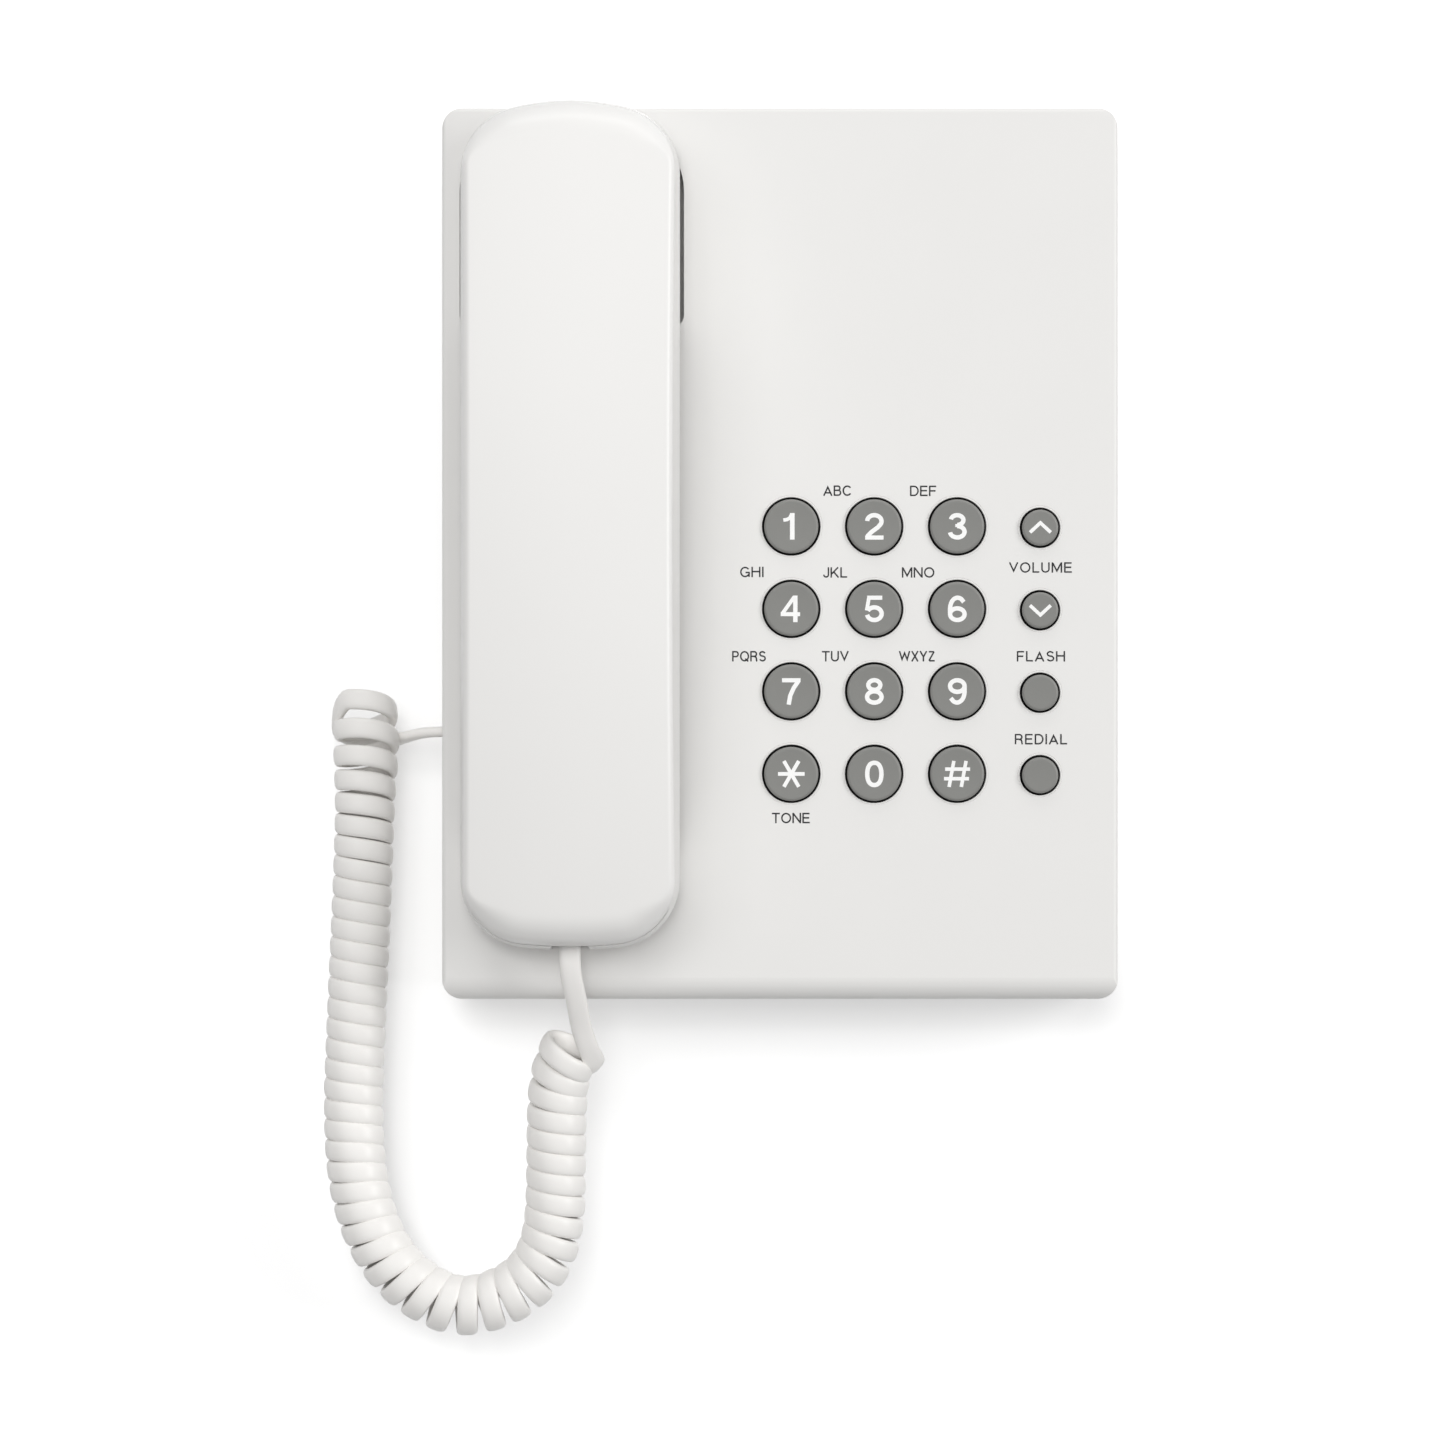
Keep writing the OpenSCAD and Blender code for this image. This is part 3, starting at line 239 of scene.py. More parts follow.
def makeCord():
    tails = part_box("base_plug"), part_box("handset_plug")
    middle = [(low + high) / 2 for low, high in tails]
    exit = (tails[0][0].x, middle[0].y, middle[0].z)
    entry = (middle[1].x, middle[1].y, tails[1][0].z)
    coil, out = coilLine()
    leads = [np.array(cord[k], float) for k in ("baseLead", "handsetLead")]
    line = np.vstack([[exit], onWall(leads[0][:, :3]), coil, onWall(leads[1][:, :3]), [entry]])
    faces = [onWall(lead[:, 3:]) / mm for lead in leads]
    facing = np.vstack([faces[0][:1], faces[0], out, faces[1], faces[1][-1:]])
    smooth = throughPoints(line, cord["step"] * mm)
    stations = runAlong(smooth)
    # where each drawn point lies on the smooth line
    coilFrom, coilTo = len(leads[0]) + 1, len(line) - len(leads[1]) - 2
    nearest = [int(np.argmin(np.linalg.norm(smooth - p, axis=1))) for p in line]
    known, ends = stations[nearest[:coilFrom + 1]], stations[nearest[coilTo:]]
    inner = runAlong(line[coilFrom:coilTo + 1])
    inner = known[-1] + inner / inner[-1] * (ends[0] - known[-1])
    marks = np.concatenate([known[:-1], inner, ends[1:]])
    facing = softened(at(facing, marks, stations), cord["facingPasses"])
    ahead = unit(np.gradient(smooth, axis=0))
    flat = unit(facing - ahead * np.sum(facing * ahead, axis=1)[:, None])
    across = np.cross(ahead, flat)
    turn = np.linspace(0, 2 * np.pi, cord["sides"], endpoint=False)
    power = 2 / cord["roundness"]  # a rounded oblong across the cord
    wide = cord["width"] / 2 * mm * np.sign(np.cos(turn)) * np.abs(np.cos(turn)) ** power
    thick = cord["thickness"] / 2 * mm * np.sign(np.sin(turn)) * np.abs(np.sin(turn)) ** power
    rings = smooth[:, None] + wide[:, None] * across[:, None] + thick[:, None] * flat[:, None]
    n, m = cord["sides"], len(smooth)
    faces = gridFaces(m, n) + [range(n), range((m - 1) * n, m * n)]
    piece = makePiece("curly_cord", rings.reshape(-1, 3), faces)
    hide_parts("cord_coil", "cord_lead_base", "cord_lead_handset")
    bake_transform(piece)
    print("cord made,", round(stations[-1], 3), "m long")
    return piece


cordPiece = makeCord()


# finishes

class Wire:  # a shader socket that takes part in sums
    def __init__(self, finish, socket):
        self.finish, self.socket = finish, socket

    def __add__(self, b):
        return self.finish.maths("ADD", self, b)

    def __radd__(self, a):
        return self.finish.maths("ADD", a, self)

    def __sub__(self, b):
        return self.finish.maths("SUBTRACT", self, b)

    def __rsub__(self, a):
        return self.finish.maths("SUBTRACT", a, self)

    def __mul__(self, b):
        return self.finish.maths("MULTIPLY", self, b)

    def __rmul__(self, a):
        return self.finish.maths("MULTIPLY", a, self)


class Finish:  # the nodes of a material, or of the world
    def __init__(self, owner):
        owner.use_nodes = True
        self.owner = owner
        self.tree = owner.node_tree
        self.tree.nodes.clear()

    def node(self, kind, settings=None, inputs=None, out=0):
        made = self.tree.nodes.new(kind)
        for key, value in (settings or {}).items():
            setattr(made, key, value)
        for key, value in (inputs or {}).items():
            if isinstance(value, Wire):
                self.tree.links.new(value.socket, made.inputs[key])
            else:
                made.inputs[key].default_value = value
        return Wire(self, made.outputs[out] if len(made.outputs) else None)

    def maths(self, operation, a, b):
        return self.node("ShaderNodeMath", {"operation": operation}, {0: a, 1: b})

    def mixColour(self, share, a, b):
        return self.node("ShaderNodeMix", {"data_type": "RGBA"}, {0: share, 6: a, 7: b}, out=2)

    def place(self):  # in the piece's own coordinates
        return self.node("ShaderNodeTexCoord", out=3)

    def noise(self, scale, detail=2):
        inputs = {"Vector": self.place(), "Scale": scale, "Detail": detail}
        return self.node("ShaderNodeTexNoise", None, inputs)

    def bump(self, height, strength, depth=0.0002):
        inputs = {"Strength": strength, "Distance": depth, "Height": height}
        return self.node("ShaderNodeBump", None, inputs)

    def principled(self, inputs):
        return self.surface(self.node("ShaderNodeBsdfPrincipled", None, inputs))

    def surface(self, wire, output="ShaderNodeOutputMaterial"):
        self.node(output, None, {"Surface": wire})
        return self.owner


def srgb(r, g, b):  # 0 to 255
    low = [c / 255 for c in (r, g, b)]
    return [c / 12.92 if c <= 0.04045 else ((c + 0.055) / 1.055) ** 2.4 for c in low] + [1]


cloudScale = 35  # of the slow drift in a plastic's colour and gloss


def newFinish(name):
    return Finish(bpy.data.materials.new(name))


def darker(colour, share):
    return [c * (1 - share) for c in colour[:3]] + [1]


def plastic(name, colour, roughness, drift=0.02, grain=900, bump=0.02):
    f = newFinish(name)
    cloud, fine = f.noise(cloudScale), f.noise(grain, 3)
    return f.principled({
        "Base Color": f.mixColour(cloud, darker(colour, drift), colour),
        "Roughness": roughness - 0.04 + cloud * 0.05 + fine * 0.03,
        "Normal": f.bump(fine, bump),
    })


# painted shade: a key cap's colour turns near-black below the face plane, standing in for the shade in its
# gap
def capPlastic(name, colour, roughness, drift, paintedGapShade, gapShadeFrom, fade):  # dark in a key's gap
    f = newFinish(name)
    cloud, fine = f.noise(cloudScale), f.noise(900, 3)
    y = f.node("ShaderNodeSeparateXYZ", None, {"Vector": f.place()}, out=1)
    # share of painted shade: none at the face plane, full once deeper by fade
    gapShadeShare = (y - gapShadeFrom) * (1 / fade)
    shown = f.mixColour(cloud, darker(colour, drift), colour)
    return f.principled({
        "Base Color": f.mixColour(gapShadeShare, shown, srgb(*paintedGapShade)),
        "Roughness": roughness + cloud * 0.04 + fine * 0.03,
        "Normal": f.bump(fine, 0.02),
    })


def metal(name, colour, roughness):
    f = newFinish(name)
    brushed = f.noise(1500, 4)
    return f.principled({
        "Base Color": f.mixColour(f.noise(90), colour, darker(colour, 0.1)),
        "Metallic": 1.0,
        "Roughness": roughness + brushed * 0.12,
        "Normal": f.bump(brushed, 0.05, 0.0001),
    })


def clear(name, colour, roughness):
    f = newFinish(name)
    return f.principled({
        "Base Color": colour,
        "Roughness": roughness + f.noise(400) * 0.06,
        "Transmission Weight": 0.85,
        "IOR": 1.49,
    })


finishes = {  # kind, colour and settings
    "white_plastic": (plastic, (235, 234, 232), {"roughness": 0.44}),
    "handset_plastic": (plastic, (239, 238, 236), {"roughness": 0.29}),
    "key_plastic": (capPlastic, (136, 136, 133), {
        "roughness": 0.32, "drift": 0.04,
        # painted shade in the key gap: near-black below the face plane, fading in over fade
        "paintedGapShade": (14, 14, 15), "gapShadeFrom": -0.0338, "fade": 0.00025,
    }),
    "cord_plastic": (plastic, (248, 246, 243), {"roughness": 0.36, "grain": 500, "bump": 0.015}),
    "digit_ink": (plastic, (250, 250, 249), {"roughness": 0.5}),
    "label_ink": (plastic, (46, 46, 48), {"roughness": 0.6}),
    "rubber": (plastic, (52, 52, 54), {"roughness": 0.75, "drift": 0.1, "grain": 1400, "bump": 0.1}),
    "black_plastic": (plastic, (34, 34, 37), {"roughness": 0.5, "drift": 0.08}),
    "board_green": (plastic, (60, 110, 66), {"roughness": 0.45, "drift": 0.15}),
    "wire_sleeve": (plastic, (150, 52, 45), {"roughness": 0.42, "drift": 0.06}),
    "steel": (metal, (190, 191, 193), {"roughness": 0.28}),
    "clear_plastic": (clear, (232, 238, 240), {"roughness": 0.08}),
}
finishOf = {"circuit_board": "board_green", "wire": "wire_sleeve", "cord": "cord_plastic"}  # by slot

materials = {
    name: kind(name, srgb(*colour), **settings)
    for name, (kind, colour, settings) in finishes.items()
}


def paint(piece, finish):
    piece.data.materials.clear()
    piece.data.materials.append(materials[finish])


def paintNodes():
    for node in nodes.values():
        slot = node.data.materials[0].name.split(".")[0]
        paint(node, finishOf.get(slot, slot))


paintNodes()
paint(cordPiece, "cord_plastic")
print("finishes made")


# handset crown

crown = {
    "endRadii": (52, 100),      # receiver end, mouthpiece end, seen from the front
    "cornerRadius": 15,
    "alongRadius": 548, "acrossRadius": 160,  # of its top, which curves both ways
    "sideLean": 5, "endLean": 11,
    "sideRound": 2, "endRound": 8,
    "endFade": (0.1, 0.9),      # how far a wall faces the end where its values fade in
    "rimRound": 0.45,
    "wall": 2, "innerRound": 0.6,   # the round inside is smaller by this share of the wall
    "socket": (7.9, 5),         # width, and height over the seam
    "spine": 23,                # the middle line stops this far from each end
    "columns": (26, 22, 18),    # along the side, round a corner, round half an end
    "rimSteps": 4, "wallSteps": 6, "roundSteps": 17, "topSteps": 14,
}


def crownOutline(half, reach):  # the plan: each point, and the way out from it
    loops = []
    alongSide, roundCorner, roundEnd = crown["columns"]
    for R, turn in zip(crown["endRadii"], (1, -1)):
        r = crown["cornerRadius"]
        rise = math.sqrt((R - r) ** 2 - (half - r) ** 2)
        centre = reach - R
        corner = centre + rise
        lean = math.atan2(rise, half - r)
        points = [((half, y), (1, 0)) for y in np.linspace(0, corner, alongSide)[:-1]]
        for a in np.linspace(0, lean, roundCorner)[:-1]:
            u, v = math.cos(a), math.sin(a)
            points.append(((half - r + r * u, corner + r * v), (u, v)))
        side = crown["socket"][0] / 2
        sweep = list(np.linspace(lean, math.pi / 2, roundEnd))
        sweep += [math.acos(s / R) for s in (side + 1e-5, side - 1e-5)]  # the socket's edge
        for a in sorted(sweep):
            u, v = math.cos(a), math.sin(a)
            points.append(((R * u, centre + R * v), (u, v)))
        left = [((-x, y), (-u, v)) for (x, y), (u, v) in points[-2::-1]]
        loop = points + left
        loops.append([((x * turn, y * turn), (u * turn, v * turn)) for (x, y), (u, v) in loop])
    return loops[0][:-1] + loops[1][:-1]


def crownHeight(x, y, top):
    return top - y ** 2 / (2 * crown["alongRadius"]) - x ** 2 / (2 * crown["acrossRadius"])


def crownRings(half, reach, top, inset, rim):
    rings = []
    fadeFrom, fadeTo = crown["endFade"]
    for (x, y), (u, v) in crownOutline(half, reach):
        x, y = x - inset * u, y - inset * v
        share = min(1, max(0, (abs(v) - fadeFrom) / (fadeTo - fadeFrom)))
        share = share * share * (3 - 2 * share)
        lean = math.radians(crown["sideLean"] + share * (crown["endLean"] - crown["sideLean"]))
        r = crown["sideRound"] + share * (crown["endRound"] - crown["sideRound"])
        r -= inset * crown["innerRound"]
        zc, dc = top - r, r
        for _ in range(12):  # the ball that touches both the wall and the crown
            dc = zc * math.tan(lean) + r / math.cos(lean)
            fall = lambda d: crownHeight(x - d * u, y - d * v, top - inset)
            slope = (fall(dc + 0.05) - fall(dc - 0.05)) / 0.1
            zc = fall(dc) - r * math.sqrt(1 + slope * slope)
        profile = [(0, 0)]
        if rim:
            quarter = [math.pi / 2 * k / crown["rimSteps"] for k in range(crown["rimSteps"] + 1)]
            profile = [
                (rim - rim * math.sin(a) + rim * math.tan(lean), rim - rim * math.cos(a)) for a in quarter
            ]
        wallTop = zc + r * math.sin(lean)
        wall = np.linspace(rim, wallTop, crown["wallSteps"])[1:-1]
        profile += [(z * math.tan(lean), z) for z in wall]
        for a in np.linspace(-lean, math.pi / 2 - math.atan(slope), crown["roundSteps"]):
            profile.append((dc - r * math.cos(a), zc + r * math.sin(a)))
        column = [(x - d * u, y - d * v, z) for d, z in profile]
        edgeX, edgeY, _ = column[-1]
        spine = reach - crown["spine"]
        middle = min(max(edgeY, -spine), spine)
        for k in range(1, crown["topSteps"] + 1):
            t = k / crown["topSteps"]
            px, py = edgeX - edgeX * t, edgeY + (middle - edgeY) * t
            column.append((px, py, crownHeight(px, py, top - inset)))
        rings.append(column)
    return rings


def makeCrown():
    low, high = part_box("handset_back")
    midX, midZ = middleOf("handset_back")
    seam = high.y
    half, reach, top = [s / mm for s in ((high.x - low.x) / 2, (high.z - low.z) / 2, seam - low.y)]
    outer = crownRings(half, reach, top, 0, crown["rimRound"])
    inner = crownRings(half, reach, top, crown["wall"], 0)
    wide, tall = crown["socket"]
    for k, (x, y, z) in enumerate([c[0] for c in outer]):
        if abs(x) < wide / 2 and y < 0:
            outer[k], inner[k] = raised(outer[k], tall), raised(inner[k], tall)
    columns = [a[::-1] + b for a, b in zip(outer, inner)]
    points = [(midX + x * mm, seam - z * mm, midZ + y * mm) for column in columns for x, y, z in column]
    faces = gridFaces(len(columns), len(columns[0]), loopRows=True, loopAcross=False)
    piece = makePiece("handset_crown", points, faces)
    paint(piece, "handset_plastic")
    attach(piece, "handset")
    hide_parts("handset_back")


def raised(column, height):  # the column with its foot lifted to that height
    k = next(i for i, p in enumerate(column) if p[2] > height)
    a, b = np.array(column[k - 1]), np.array(column[k])
    foot = tuple(a + (b - a) * (height - a[2]) / (b[2] - a[2]))
    return [foot] * k + column[k:]


makeCrown()
print("handset crown made")


# keys

keys = {
    "bigRadius": 6, "smallRadius": 4,
    "dishRadius": 60, "edgeRound": 0.6, "wall": 1.3,
    "rimLower": 0.009,       # rim below the key's highest point, per square of its radius
    "flange": 1, "flangeReach": 1.3, "plunger": 1.5,
    "around": 96, "dishSteps": 16, "edgeSteps": 14,
    "sharpOver": 50,
    "gap": 0.48,             # between a key and its opening
    "rim": [                 # the opening's lip: out from its wall, and over the face
        (0, -0.7), (0, -0.14), (0.04, -0.05), (0.11, -0.01),
        (0.2, 0), (0.3, -0.015), (0.36, -0.07), (0.36, -0.7),
    ],
    "rimSharpOver": 60,
    "inkRise": 0.02, "inkDepth": 0.12,
    "digitHeight": 5.9, "stroke": 0.165,
}

digitOf = {f"key_{n}": str(n) for n in range(10)}
digitOf.update({"key_star": "star", "key_hash": "hash"})
digitOf.update({"key_volume_up": "up", "key_volume_down": "down"})
smallKeys = ("key_volume_up", "key_volume_down", "key_flash", "key_redial")


def arc(cx, cy, rx, ry, start, end, steps=28):
    a = np.radians(np.linspace(start, end, steps))
    return [(cx + rx * math.cos(t), cy + ry * math.sin(t)) for t in a]


def ring(cx, cy, rx, ry, power=2.0, steps=49):
    a = np.linspace(0, 2 * math.pi, steps)
    grow = [(abs(math.cos(t)) ** power + abs(math.sin(t)) ** power) ** (-1 / power) for t in a]
    return [(cx + rx * g * math.cos(t), cy + ry * g * math.sin(t)) for t, g in zip(a, grow)]


# strokes of each sign on a height of 1, round x = 0: the line, and the width of its stroke
sixBowl = ring(0, 0.3, 0.272, 0.218)
sixBack = [(0.245, 0.755)] + arc(0.01, 0.7, 0.215, 0.218, 32, 90, 10)
sixBack += arc(0.01, 0.5, 0.282, 0.418, 96, 180, 20) + [(-0.272, 0.3)]
signs = {
    "0": [(ring(0, 0.5, 0.265, 0.418, 2.3), 1)],
    "1": [([(0.035, 0), (0.035, 1)], 1.05),
          ([(-0.3, 0.735), (-0.17, 0.752), (-0.06, 0.81), (0, 0.93)], 0.8)],
    "2": [(arc(0, 0.69, 0.27, 0.228, 178, -30)
           + [(0.13, 0.46), (-0.1, 0.29), (-0.24, 0.15), (-0.275, 0.08)], 1),
          ([(-0.345, 0.077), (0.345, 0.077)], 0.95)],
    "3": [(arc(-0.005, 0.735, 0.235, 0.183, 172, -88, 30), 1),
          (arc(0, 0.295, 0.272, 0.213, 92, -174, 34), 1), ([(-0.075, 0.53), (0.02, 0.53)], 0.7)],
    "4": [([(0.15, 0), (0.15, 1)], 1), ([(-0.4, 0.3), (0.33, 0.3)], 0.9),
          ([(-0.335, 0.325), (0.115, 0.955)], 0.85)],
    "5": [([(-0.27, 0.918), (0.3, 0.918)], 0.95), ([(-0.2, 0.93), (-0.285, 0.44)], 0.85),
          (arc(0, 0.318, 0.275, 0.238, 152, -170, 36), 1)],
    "6": [(sixBowl, 1), (sixBack, 1)],
    "7": [([(-0.35, 0.918), (0.345, 0.918)], 0.95),
          ([(0.275, 0.9), (0.09, 0.63), (-0.04, 0.34), (-0.1, 0)], 0.98)],
    "8": [(ring(0, 0.738, 0.225, 0.182), 1), (ring(0, 0.29, 0.272, 0.212), 1)],
    "9": [([(-x, 1 - y) for x, y in sixBowl], 1), ([(-x, 1 - y) for x, y in sixBack], 1)],
    "star": [([(-0.5, 0.5), (0.5, 0.5)], 0.85), ([(-0.28, 0.015), (0.28, 0.985)], 0.85),
             ([(-0.28, 0.985), (0.28, 0.015)], 0.85)],
    "hash": [([(-0.46, 0.68), (0.48, 0.68)], 0.8), ([(-0.5, 0.32), (0.44, 0.32)], 0.8),
             ([(-0.31, 0.01), (-0.13, 0.99)], 0.8), ([(0.15, 0.01), (0.33, 0.99)], 0.8)],
    "up": [([(-0.39, 0.32), (0, 0.68), (0.39, 0.32)], 0.78)],
    "down": [([(-0.39, 0.68), (0, 0.32), (0.39, 0.68)], 0.78)],
}


def keyRadius(name):
    return keys["smallRadius"] if name in smallKeys else keys["bigRadius"]


def roundAbout(n):
    return np.linspace(0, 2 * math.pi, n, endpoint=False)


def makeKey(name):
    low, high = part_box(name)
    r = keyRadius(name)
    cx, cz = middleOf(name)
    base = high.y
    top = (base - low.y) / mm - keys["rimLower"] * r * r  # of the cap's rim
    R, e, w = keys["dishRadius"], keys["edgeRound"], keys["wall"]
    tilt = math.asin((r - e) / (R + e))
    lowest = top - e + (R + e) * math.cos(tilt) - R  # the dish at its middle
    roof = lowest - w
    dish = np.linspace(0, tilt, keys["dishSteps"])
    edge = np.linspace(math.pi / 2 + tilt, 0, keys["edgeSteps"])[1:]
    profile = [(R * math.sin(t), lowest + R - R * math.cos(t)) for t in dish]
    profile += [(r - e + e * math.cos(t), top - e + e * math.sin(t)) for t in edge]
    flange, skirt, plunger = keys["flange"], r + keys["flangeReach"], keys["plunger"]
    profile += [(r, flange), (skirt, flange), (skirt, 0), (r - w, 0), (r - w, roof)]
    profile += [(plunger, roof), (plunger, 0), (0, 0)]
    points = [
        (cx + d * mm * math.cos(a), base - z * mm, cz + d * mm * math.sin(a))
        for d, z in profile for a in roundAbout(keys["around"])
    ]
    piece = makePiece(name + "_cap", points, gridFaces(len(profile), keys["around"]))
    piece.data.set_sharp_from_angle(angle=math.radians(keys["sharpOver"]))
    paint(piece, "key_plastic")
    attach(piece, name)
    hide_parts(name)
    if name in digitOf:
        makeSign(name, digitOf[name], cx, cz, base - lowest * mm)


ink = {
    "step": 0.06, "endGap": 0.03,  # between marks along a stroke, and before its end
    "bendGap": 0.02,               # more room at a bend than its mitre takes
    "leastMitre": 0.35,            # keeps a sharp bend from growing a spike
    "stack": 0.003,                # each stroke is higher by this, so that none shares a surface
}


def strokeStrip(line, width):  # points along a stroke, and the way to its edge, mitred at bends
    line = np.array(line, float)
    run = runAlong(line)
    ahead = unit(np.diff(line, axis=0))
    bends = np.sum(ahead[1:] * ahead[:-1], axis=1)
    between = np.arange(ink["step"], run[-1] - ink["endGap"], ink["step"])
    for place, cosine in zip(run[1:-1], bends):  # none near a bend, where the inner edges would cross
        reach = width / 2 * math.sqrt((1 - cosine) / max(0.05, 1 + cosine)) + ink["bendGap"]
        between = between[np.abs(between - place) > reach]
    marks = np.unique(np.concatenate([run, between]))
    marks = marks[np.concatenate([[True], np.diff(marks) > 1e-4])]
    p = at(line, run, marks)
    closed = np.linalg.norm(p[0] - p[-1]) < 1e-6
    d = unit(np.diff(p, axis=0))
    before = np.vstack([d[-1:] if closed else d[:1], d])
    after = np.vstack([d, d[:1] if closed else d[-1:]])
    normal = unit(np.stack([-(before + after)[:, 1], (before + after)[:, 0]], -1))
    cosine = normal[:, 0] * -after[:, 1] + normal[:, 1] * after[:, 0]
    grow = 1 / np.maximum(ink["leastMitre"], cosine)
    return p, normal * grow[:, None] * width / 2


def makeStrokes(name, strokes, rise, depth, place):  # one closed bar of ink along each stroke
    points, faces = [], []
    for line, width in strokes:
        p, n = strokeStrip(line, width)
        first = len(points)
        rise += ink["stack"]
        section = ((-1, rise), (0, rise), (1, rise), (1, -depth), (0, -depth), (-1, -depth))
        around = len(section)
        for (x, y), (u, v) in zip(p, n):
            points += [place(x + s * u, y + s * v, lift) for s, lift in section]
        faces += gridFaces(len(p), around, first=first)
        if np.linalg.norm(p[0] - p[-1]) > 1e-6:
            last = len(points) - around
            faces += [range(first, first + around), range(last, last + around)]
    return makePiece(name, points, faces, smooth=False)


def makeSign(key, sign, cx, cz, lowest):
    size, R = keys["digitHeight"] * mm, keys["dishRadius"] * mm

    def place(x, y, lift):
        x, y = x * size, (y - 0.5) * size
        rise = R - math.sqrt(R * R - x * x - y * y)
        return (cx + x, lowest - rise - lift * mm, cz + y)

    strokes = [(line, keys["stroke"] * share) for line, share in signs[sign]]
    piece = makeStrokes(key + "_sign", strokes, keys["inkRise"], keys["inkDepth"], place)
    paint(piece, "digit_ink")
    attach(piece, key)


def makeRims(names):  # soft bright lip of each key opening, in the cover's bevel
    n, points, faces = keys["around"], [], []
    face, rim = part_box("top_cover")[0].y, keys["rim"]
    for name in names:
        cx, cz = middleOf(name)
        r = keyRadius(name) + keys["gap"]
        faces += gridFaces(n, len(rim), loopRows=True, first=len(points))
        for a in roundAbout(n):
            points += [
                (cx + (r + d) * mm * math.cos(a), face - z * mm, cz + (r + d) * mm * math.sin(a))
                for d, z in rim
            ]
    piece = makePiece("key_rims", points, faces)
    piece.data.set_sharp_from_angle(angle=math.radians(keys["rimSharpOver"]))
    paint(piece, "white_plastic")
    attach(piece, "base")


keyNames = [n for n in nodes if n.startswith("key_") and n != "key_mat"]
for keyName in keyNames:
    makeKey(keyName)
makeRims(keyNames)
print("keys made")


# printed labels

labels = {  # key it belongs to, offset from the key's middle, width, all in mm
    "ABC": ("key_2", -8.2, 7.95, 6.2), "DEF": ("key_3", -7.55, 7.9, 5.8), "GHI": ("key_4", -8.75, 8.2, 5.2),
    "JKL": ("key_5", -8.65, 8.1, 5.3), "MNO": ("key_6", -8.65, 8.1, 7.2), "PQRS": ("key_7", -9.4, 7.8, 7.4),
    "TUV": ("key_8", -8.65, 7.8, 5.9), "WXYZ": ("key_9", -8.9, 7.8, 7.9),
    "TONE": ("key_star", -0.1, -9.8, 8.4),
    "VOLUME": ("key_volume_down", 0.1, 9.5, 13.9), "FLASH": ("key_flash", 0.2, 8.1, 10.7),
    "REDIAL": ("key_redial", 0.2, 8.0, 11.6),
}
lettering = {
    "height": 2.3,
    "stroke": 0.145, "leastGap": 0.13,  # shares of the height
    "rise": 0.01, "depth": 0.05,
}

stem = [(0.07, 0), (0.07, 1)]
bowlO = ring(0.5, 0.5, 0.43, 0.435)
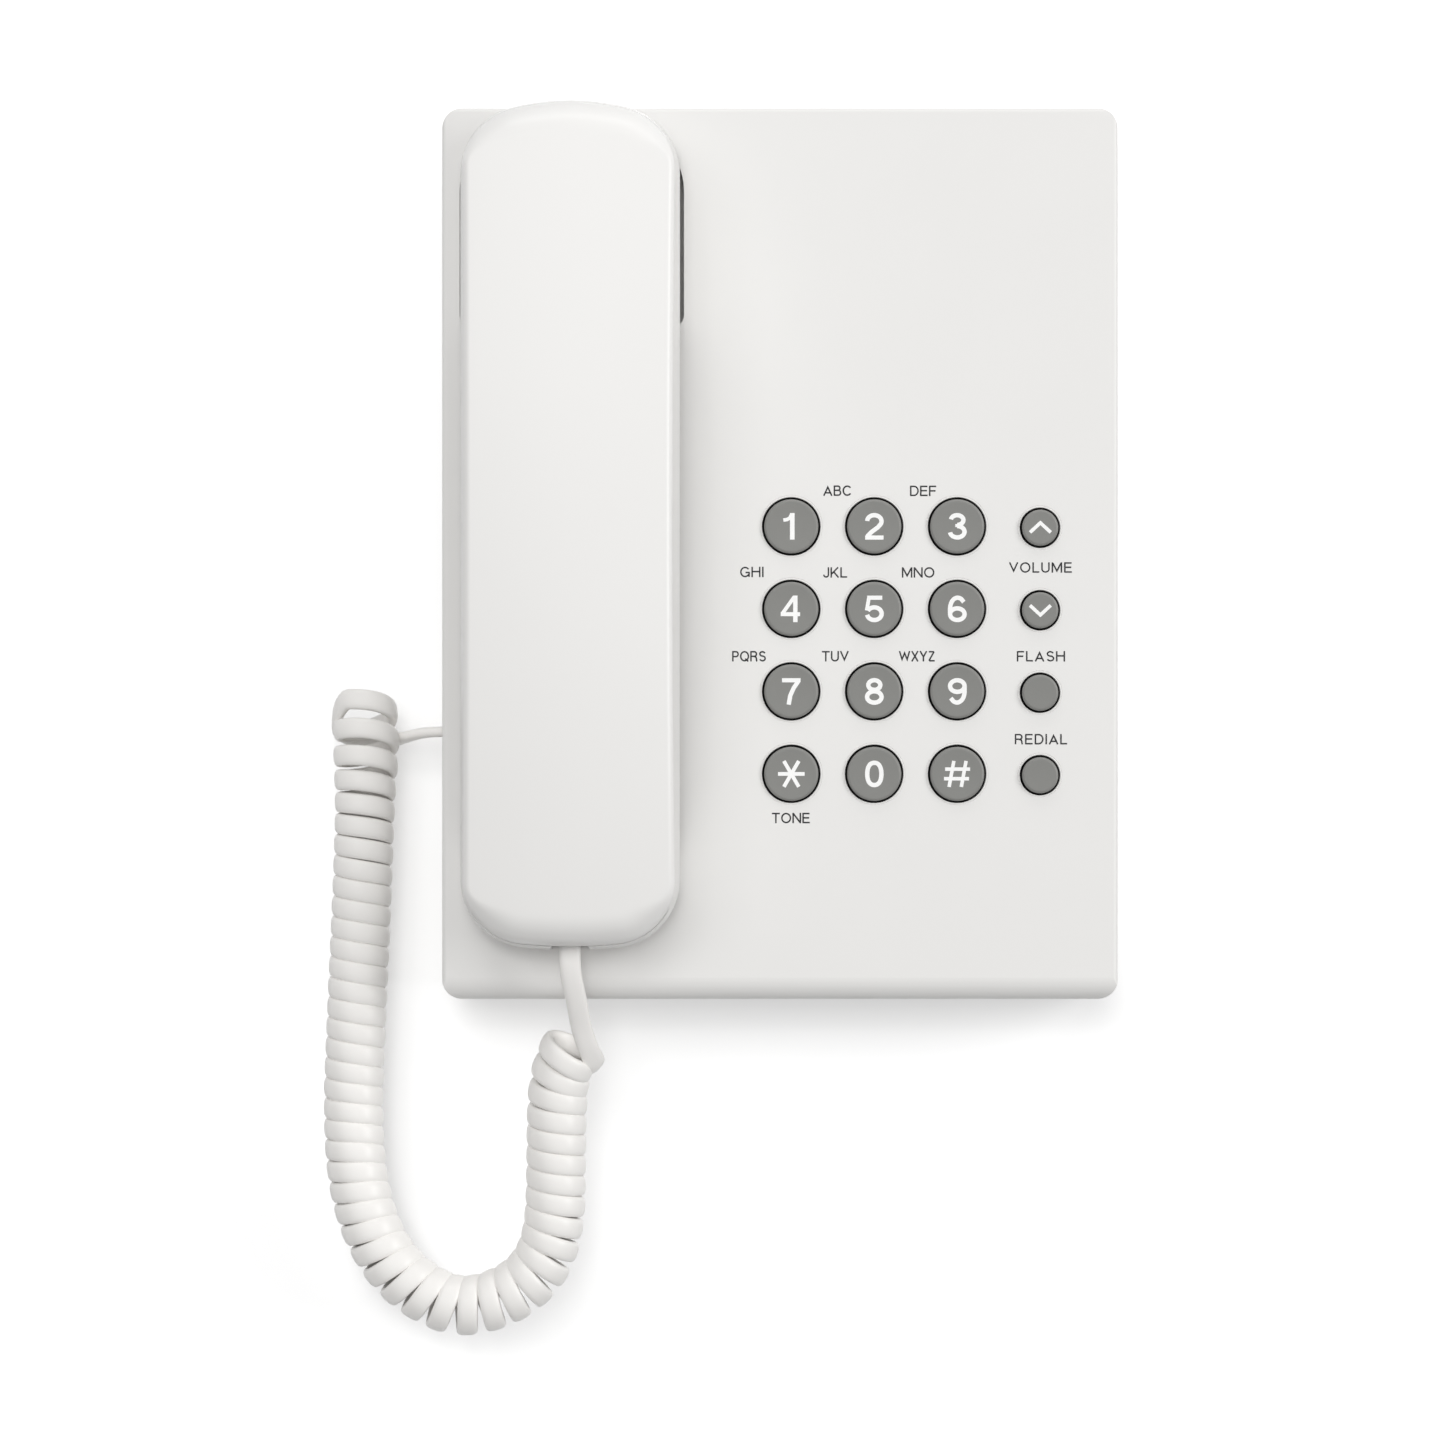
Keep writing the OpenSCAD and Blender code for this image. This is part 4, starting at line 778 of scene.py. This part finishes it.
# strokes of each letter on a height of 1, and its width
letters = {
    "A": ([[(0.05, 0), (0.45, 0.84), (0.85, 0)], [(0.2, 0.29), (0.7, 0.29)]], 0.9),
    "B": ([stem, [(0.07, 0.935), (0.42, 0.935)] + arc(0.42, 0.735, 0.2, 0.2, 88, -88) + [(0.07, 0.535)],
           [(0.1, 0.535), (0.45, 0.535)] + arc(0.45, 0.3, 0.23, 0.235, 88, -88) + [(0.07, 0.065)]], 0.75),
    "C": ([arc(0.47, 0.5, 0.4, 0.435, 38, 322)], 0.86),
    "D": ([stem, [(0.07, 0.935), (0.38, 0.935)] + arc(0.38, 0.5, 0.4, 0.435, 88, -88)
           + [(0.07, 0.065)]], 0.85),
    "E": ([stem, [(0.1, 0.935), (0.72, 0.935)], [(0.1, 0.52), (0.68, 0.52)],
           [(0.1, 0.065), (0.74, 0.065)]], 0.74),
    "F": ([stem, [(0.1, 0.935), (0.7, 0.935)], [(0.1, 0.5), (0.63, 0.5)]], 0.7),
    "G": ([arc(0.48, 0.5, 0.41, 0.435, 38, 325), [(0.52, 0.45), (0.93, 0.45)],
           [(0.865, 0.48), (0.865, 0.03)]], 0.93),
    "H": ([stem, [(0.8, 0), (0.8, 1)], [(0.1, 0.54), (0.77, 0.54)]], 0.87),
    "I": ([stem], 0.14),
    "J": ([[(0.5, 1), (0.5, 0.29)] + arc(0.275, 0.28, 0.225, 0.215, -2, -182)], 0.57),
    "K": ([stem, [(0.08, 0.32), (0.74, 1)], [(0.3, 0.58), (0.78, 0)]], 0.82),
    "L": ([stem, [(0.1, 0.065), (0.66, 0.065)]], 0.66),
    "M": ([stem, [(0.94, 0), (0.94, 1)], [(0.1, 0.93), (0.505, 0.17), (0.91, 0.93)]], 1.01),
    "N": ([stem, [(0.8, 0), (0.8, 1)], [(0.1, 0.93), (0.77, 0.07)]], 0.87),
    "O": ([bowlO], 1.0),
    "P": ([stem, [(0.07, 0.935), (0.43, 0.935)] + arc(0.43, 0.7, 0.23, 0.235, 88, -88)
           + [(0.07, 0.465)]], 0.73),
    "Q": ([bowlO, [(0.58, 0.27), (0.92, 0.0)]], 1.0),
    "R": ([stem, [(0.07, 0.935), (0.45, 0.935)] + arc(0.45, 0.715, 0.23, 0.22, 88, -88) + [(0.07, 0.495)],
           [(0.42, 0.49), (0.62, 0.42), (0.68, 0.28), (0.7, 0.08), (0.74, 0)]], 0.8),
    "S": ([arc(0.4, 0.73, 0.28, 0.205, 15, 262) + arc(0.41, 0.29, 0.3, 0.225, 80, -160)], 0.76),
    "T": ([[(0.4, 0), (0.4, 1)], [(0, 0.935), (0.8, 0.935)]], 0.8),
    "U": ([[(0.07, 1), (0.07, 0.35)] + arc(0.405, 0.35, 0.335, 0.285, 182, 358) + [(0.74, 1)]], 0.81),
    "V": ([[(0.04, 1), (0.43, 0.16), (0.82, 1)]], 0.86),
    "W": ([[(0.04, 1), (0.33, 0.19), (0.63, 0.81), (0.93, 0.19), (1.22, 1)]], 1.26),
    "X": ([[(0.06, 0), (0.78, 1)], [(0.06, 1), (0.78, 0)]], 0.84),
    "Y": ([[(0.04, 1), (0.42, 0.44), (0.8, 1)], [(0.42, 0.48), (0.42, 0)]], 0.84),
    "Z": ([[(0.06, 0.935), (0.68, 0.935)], [(0.1, 0.065), (0.74, 0.065)],
           [(0.08, 0.07), (0.66, 0.93)]], 0.76),
}


def makeLabel(text):
    key, dx, dy, width = labels[text]
    keyX, keyZ = middleOf(key)
    cx, cz = keyX + dx * mm, keyZ + dy * mm
    face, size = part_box("top_cover")[0].y, lettering["height"]
    whole = sum(letters[c][1] for c in text)
    gaps = len(text) - 1
    narrow = min(1, (width / size - gaps * lettering["leastGap"]) / whole)
    gap = (width / size - whole * narrow) / gaps
    strokes, x0 = [], -width / size / 2
    for c in text:
        for line in letters[c][0]:
            strokes.append(([(x0 + x * narrow, y) for x, y in line], lettering["stroke"]))
        x0 += letters[c][1] * narrow + gap

    def place(x, y, lift):
        return (cx + x * size * mm, face - lift * mm, cz + (y - 0.5) * size * mm)

    piece = makeStrokes("label_" + text, strokes, lettering["rise"], lettering["depth"], place)
    paint(piece, "label_ink")
    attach(piece, "base")


for word in labels:
    makeLabel(word)
print("labels made")


# wall and light

stage = {
    "wallSize": 3.2, "wallGap": 0.0001,  # behind the feet
    "wallGlow": 0.22,     # seen directly and in reflections, lights nothing
    "worldLight": 0.34,
    "lampsAimAt": (0, 0, -0.03),
}


def makeWall():
    s, y = stage["wallSize"] / 2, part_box("rubber_feet")[1].y + stage["wallGap"]
    corners = [(-s, y, -s), (s, y, -s), (s, y, s), (-s, y, s)]
    wall = makePiece("wall", corners, [(0, 1, 2, 3)], smooth=False)
    if wall.data.polygons[0].normal.y > 0:
        wall.data.flip_normals()
    f = newFinish("wall_paint")
    rays = ("Is Camera Ray", "Is Glossy Ray", "Is Transmission Ray")
    path = [f.node("ShaderNodeLightPath", out=k) for k in rays]
    front = 1 - f.node("ShaderNodeNewGeometry", out="Backfacing")
    paintShade = f.node("ShaderNodeBsdfDiffuse", None, {"Color": (1, 1, 1, 1)})
    glow = f.node("ShaderNodeEmission", None, {"Color": (1, 1, 1, 1), "Strength": stage["wallGlow"]})
    both = f.node("ShaderNodeAddShader", None, {0: paintShade, 1: glow})
    gone = f.node("ShaderNodeBsdfTransparent")
    shown = (path[0] + path[1] + path[2]) * front
    f.surface(f.node("ShaderNodeMixShader", None, {0: shown, 1: gone, 2: both}))
    wall.data.materials.append(f.owner)


def makeWorld():  # dim for the object, white for the camera
    scene.world = bpy.data.worlds.new("room")
    f = Finish(scene.world)
    white = (1, 1, 1, 1)
    light = f.node("ShaderNodeBackground", None, {"Color": white, "Strength": stage["worldLight"]})
    seen = f.node("ShaderNodeBackground", None, {"Color": white, "Strength": 1})
    path = f.node("ShaderNodeLightPath", out="Is Camera Ray")
    shown = f.node("ShaderNodeMixShader", None, {0: path, 1: light, 2: seen})
    f.surface(shown, "ShaderNodeOutputWorld")


lamps = {  # place, size across and up, power in watts, seen in reflections
    "front": ((-0.12, -2.3, 0.25), (0.6, 0.7), 10.2, False),
    "upper": ((-0.3, -2.1, 0.8), (0.8, 0.8), 8.5, False),
    "left": ((-1, -2, 0.6), (0.9, 0.9), 5.5, False),
    "right": ((1.6, -1.1, 0.3), (0.5, 1.5), 14, True),
    "top": ((0, -0.5, 1.6), (1.6, 0.7), 5.5, True),
    "rear": ((0.6, 1.8, 0.5), (1.6, 1.2), 9, True),
}


def makeLamps():
    middle = Vector(stage["lampsAimAt"])
    for name, (place, size, watts, glossy) in lamps.items():
        data = bpy.data.lights.new(name, "AREA")
        data.shape = "RECTANGLE"
        data.size, data.size_y = size
        data.energy = watts
        lamp = bpy.data.objects.new(name, data)
        lamp.location = place
        lamp.rotation_euler = (middle - Vector(place)).to_track_quat("-Z", "Y").to_euler()
        lamp.visible_glossy = glossy
        scene.collection.objects.link(lamp)


makeWall()
makeWorld()
makeLamps()
scene.view_settings.view_transform = "Standard"
print("light made")
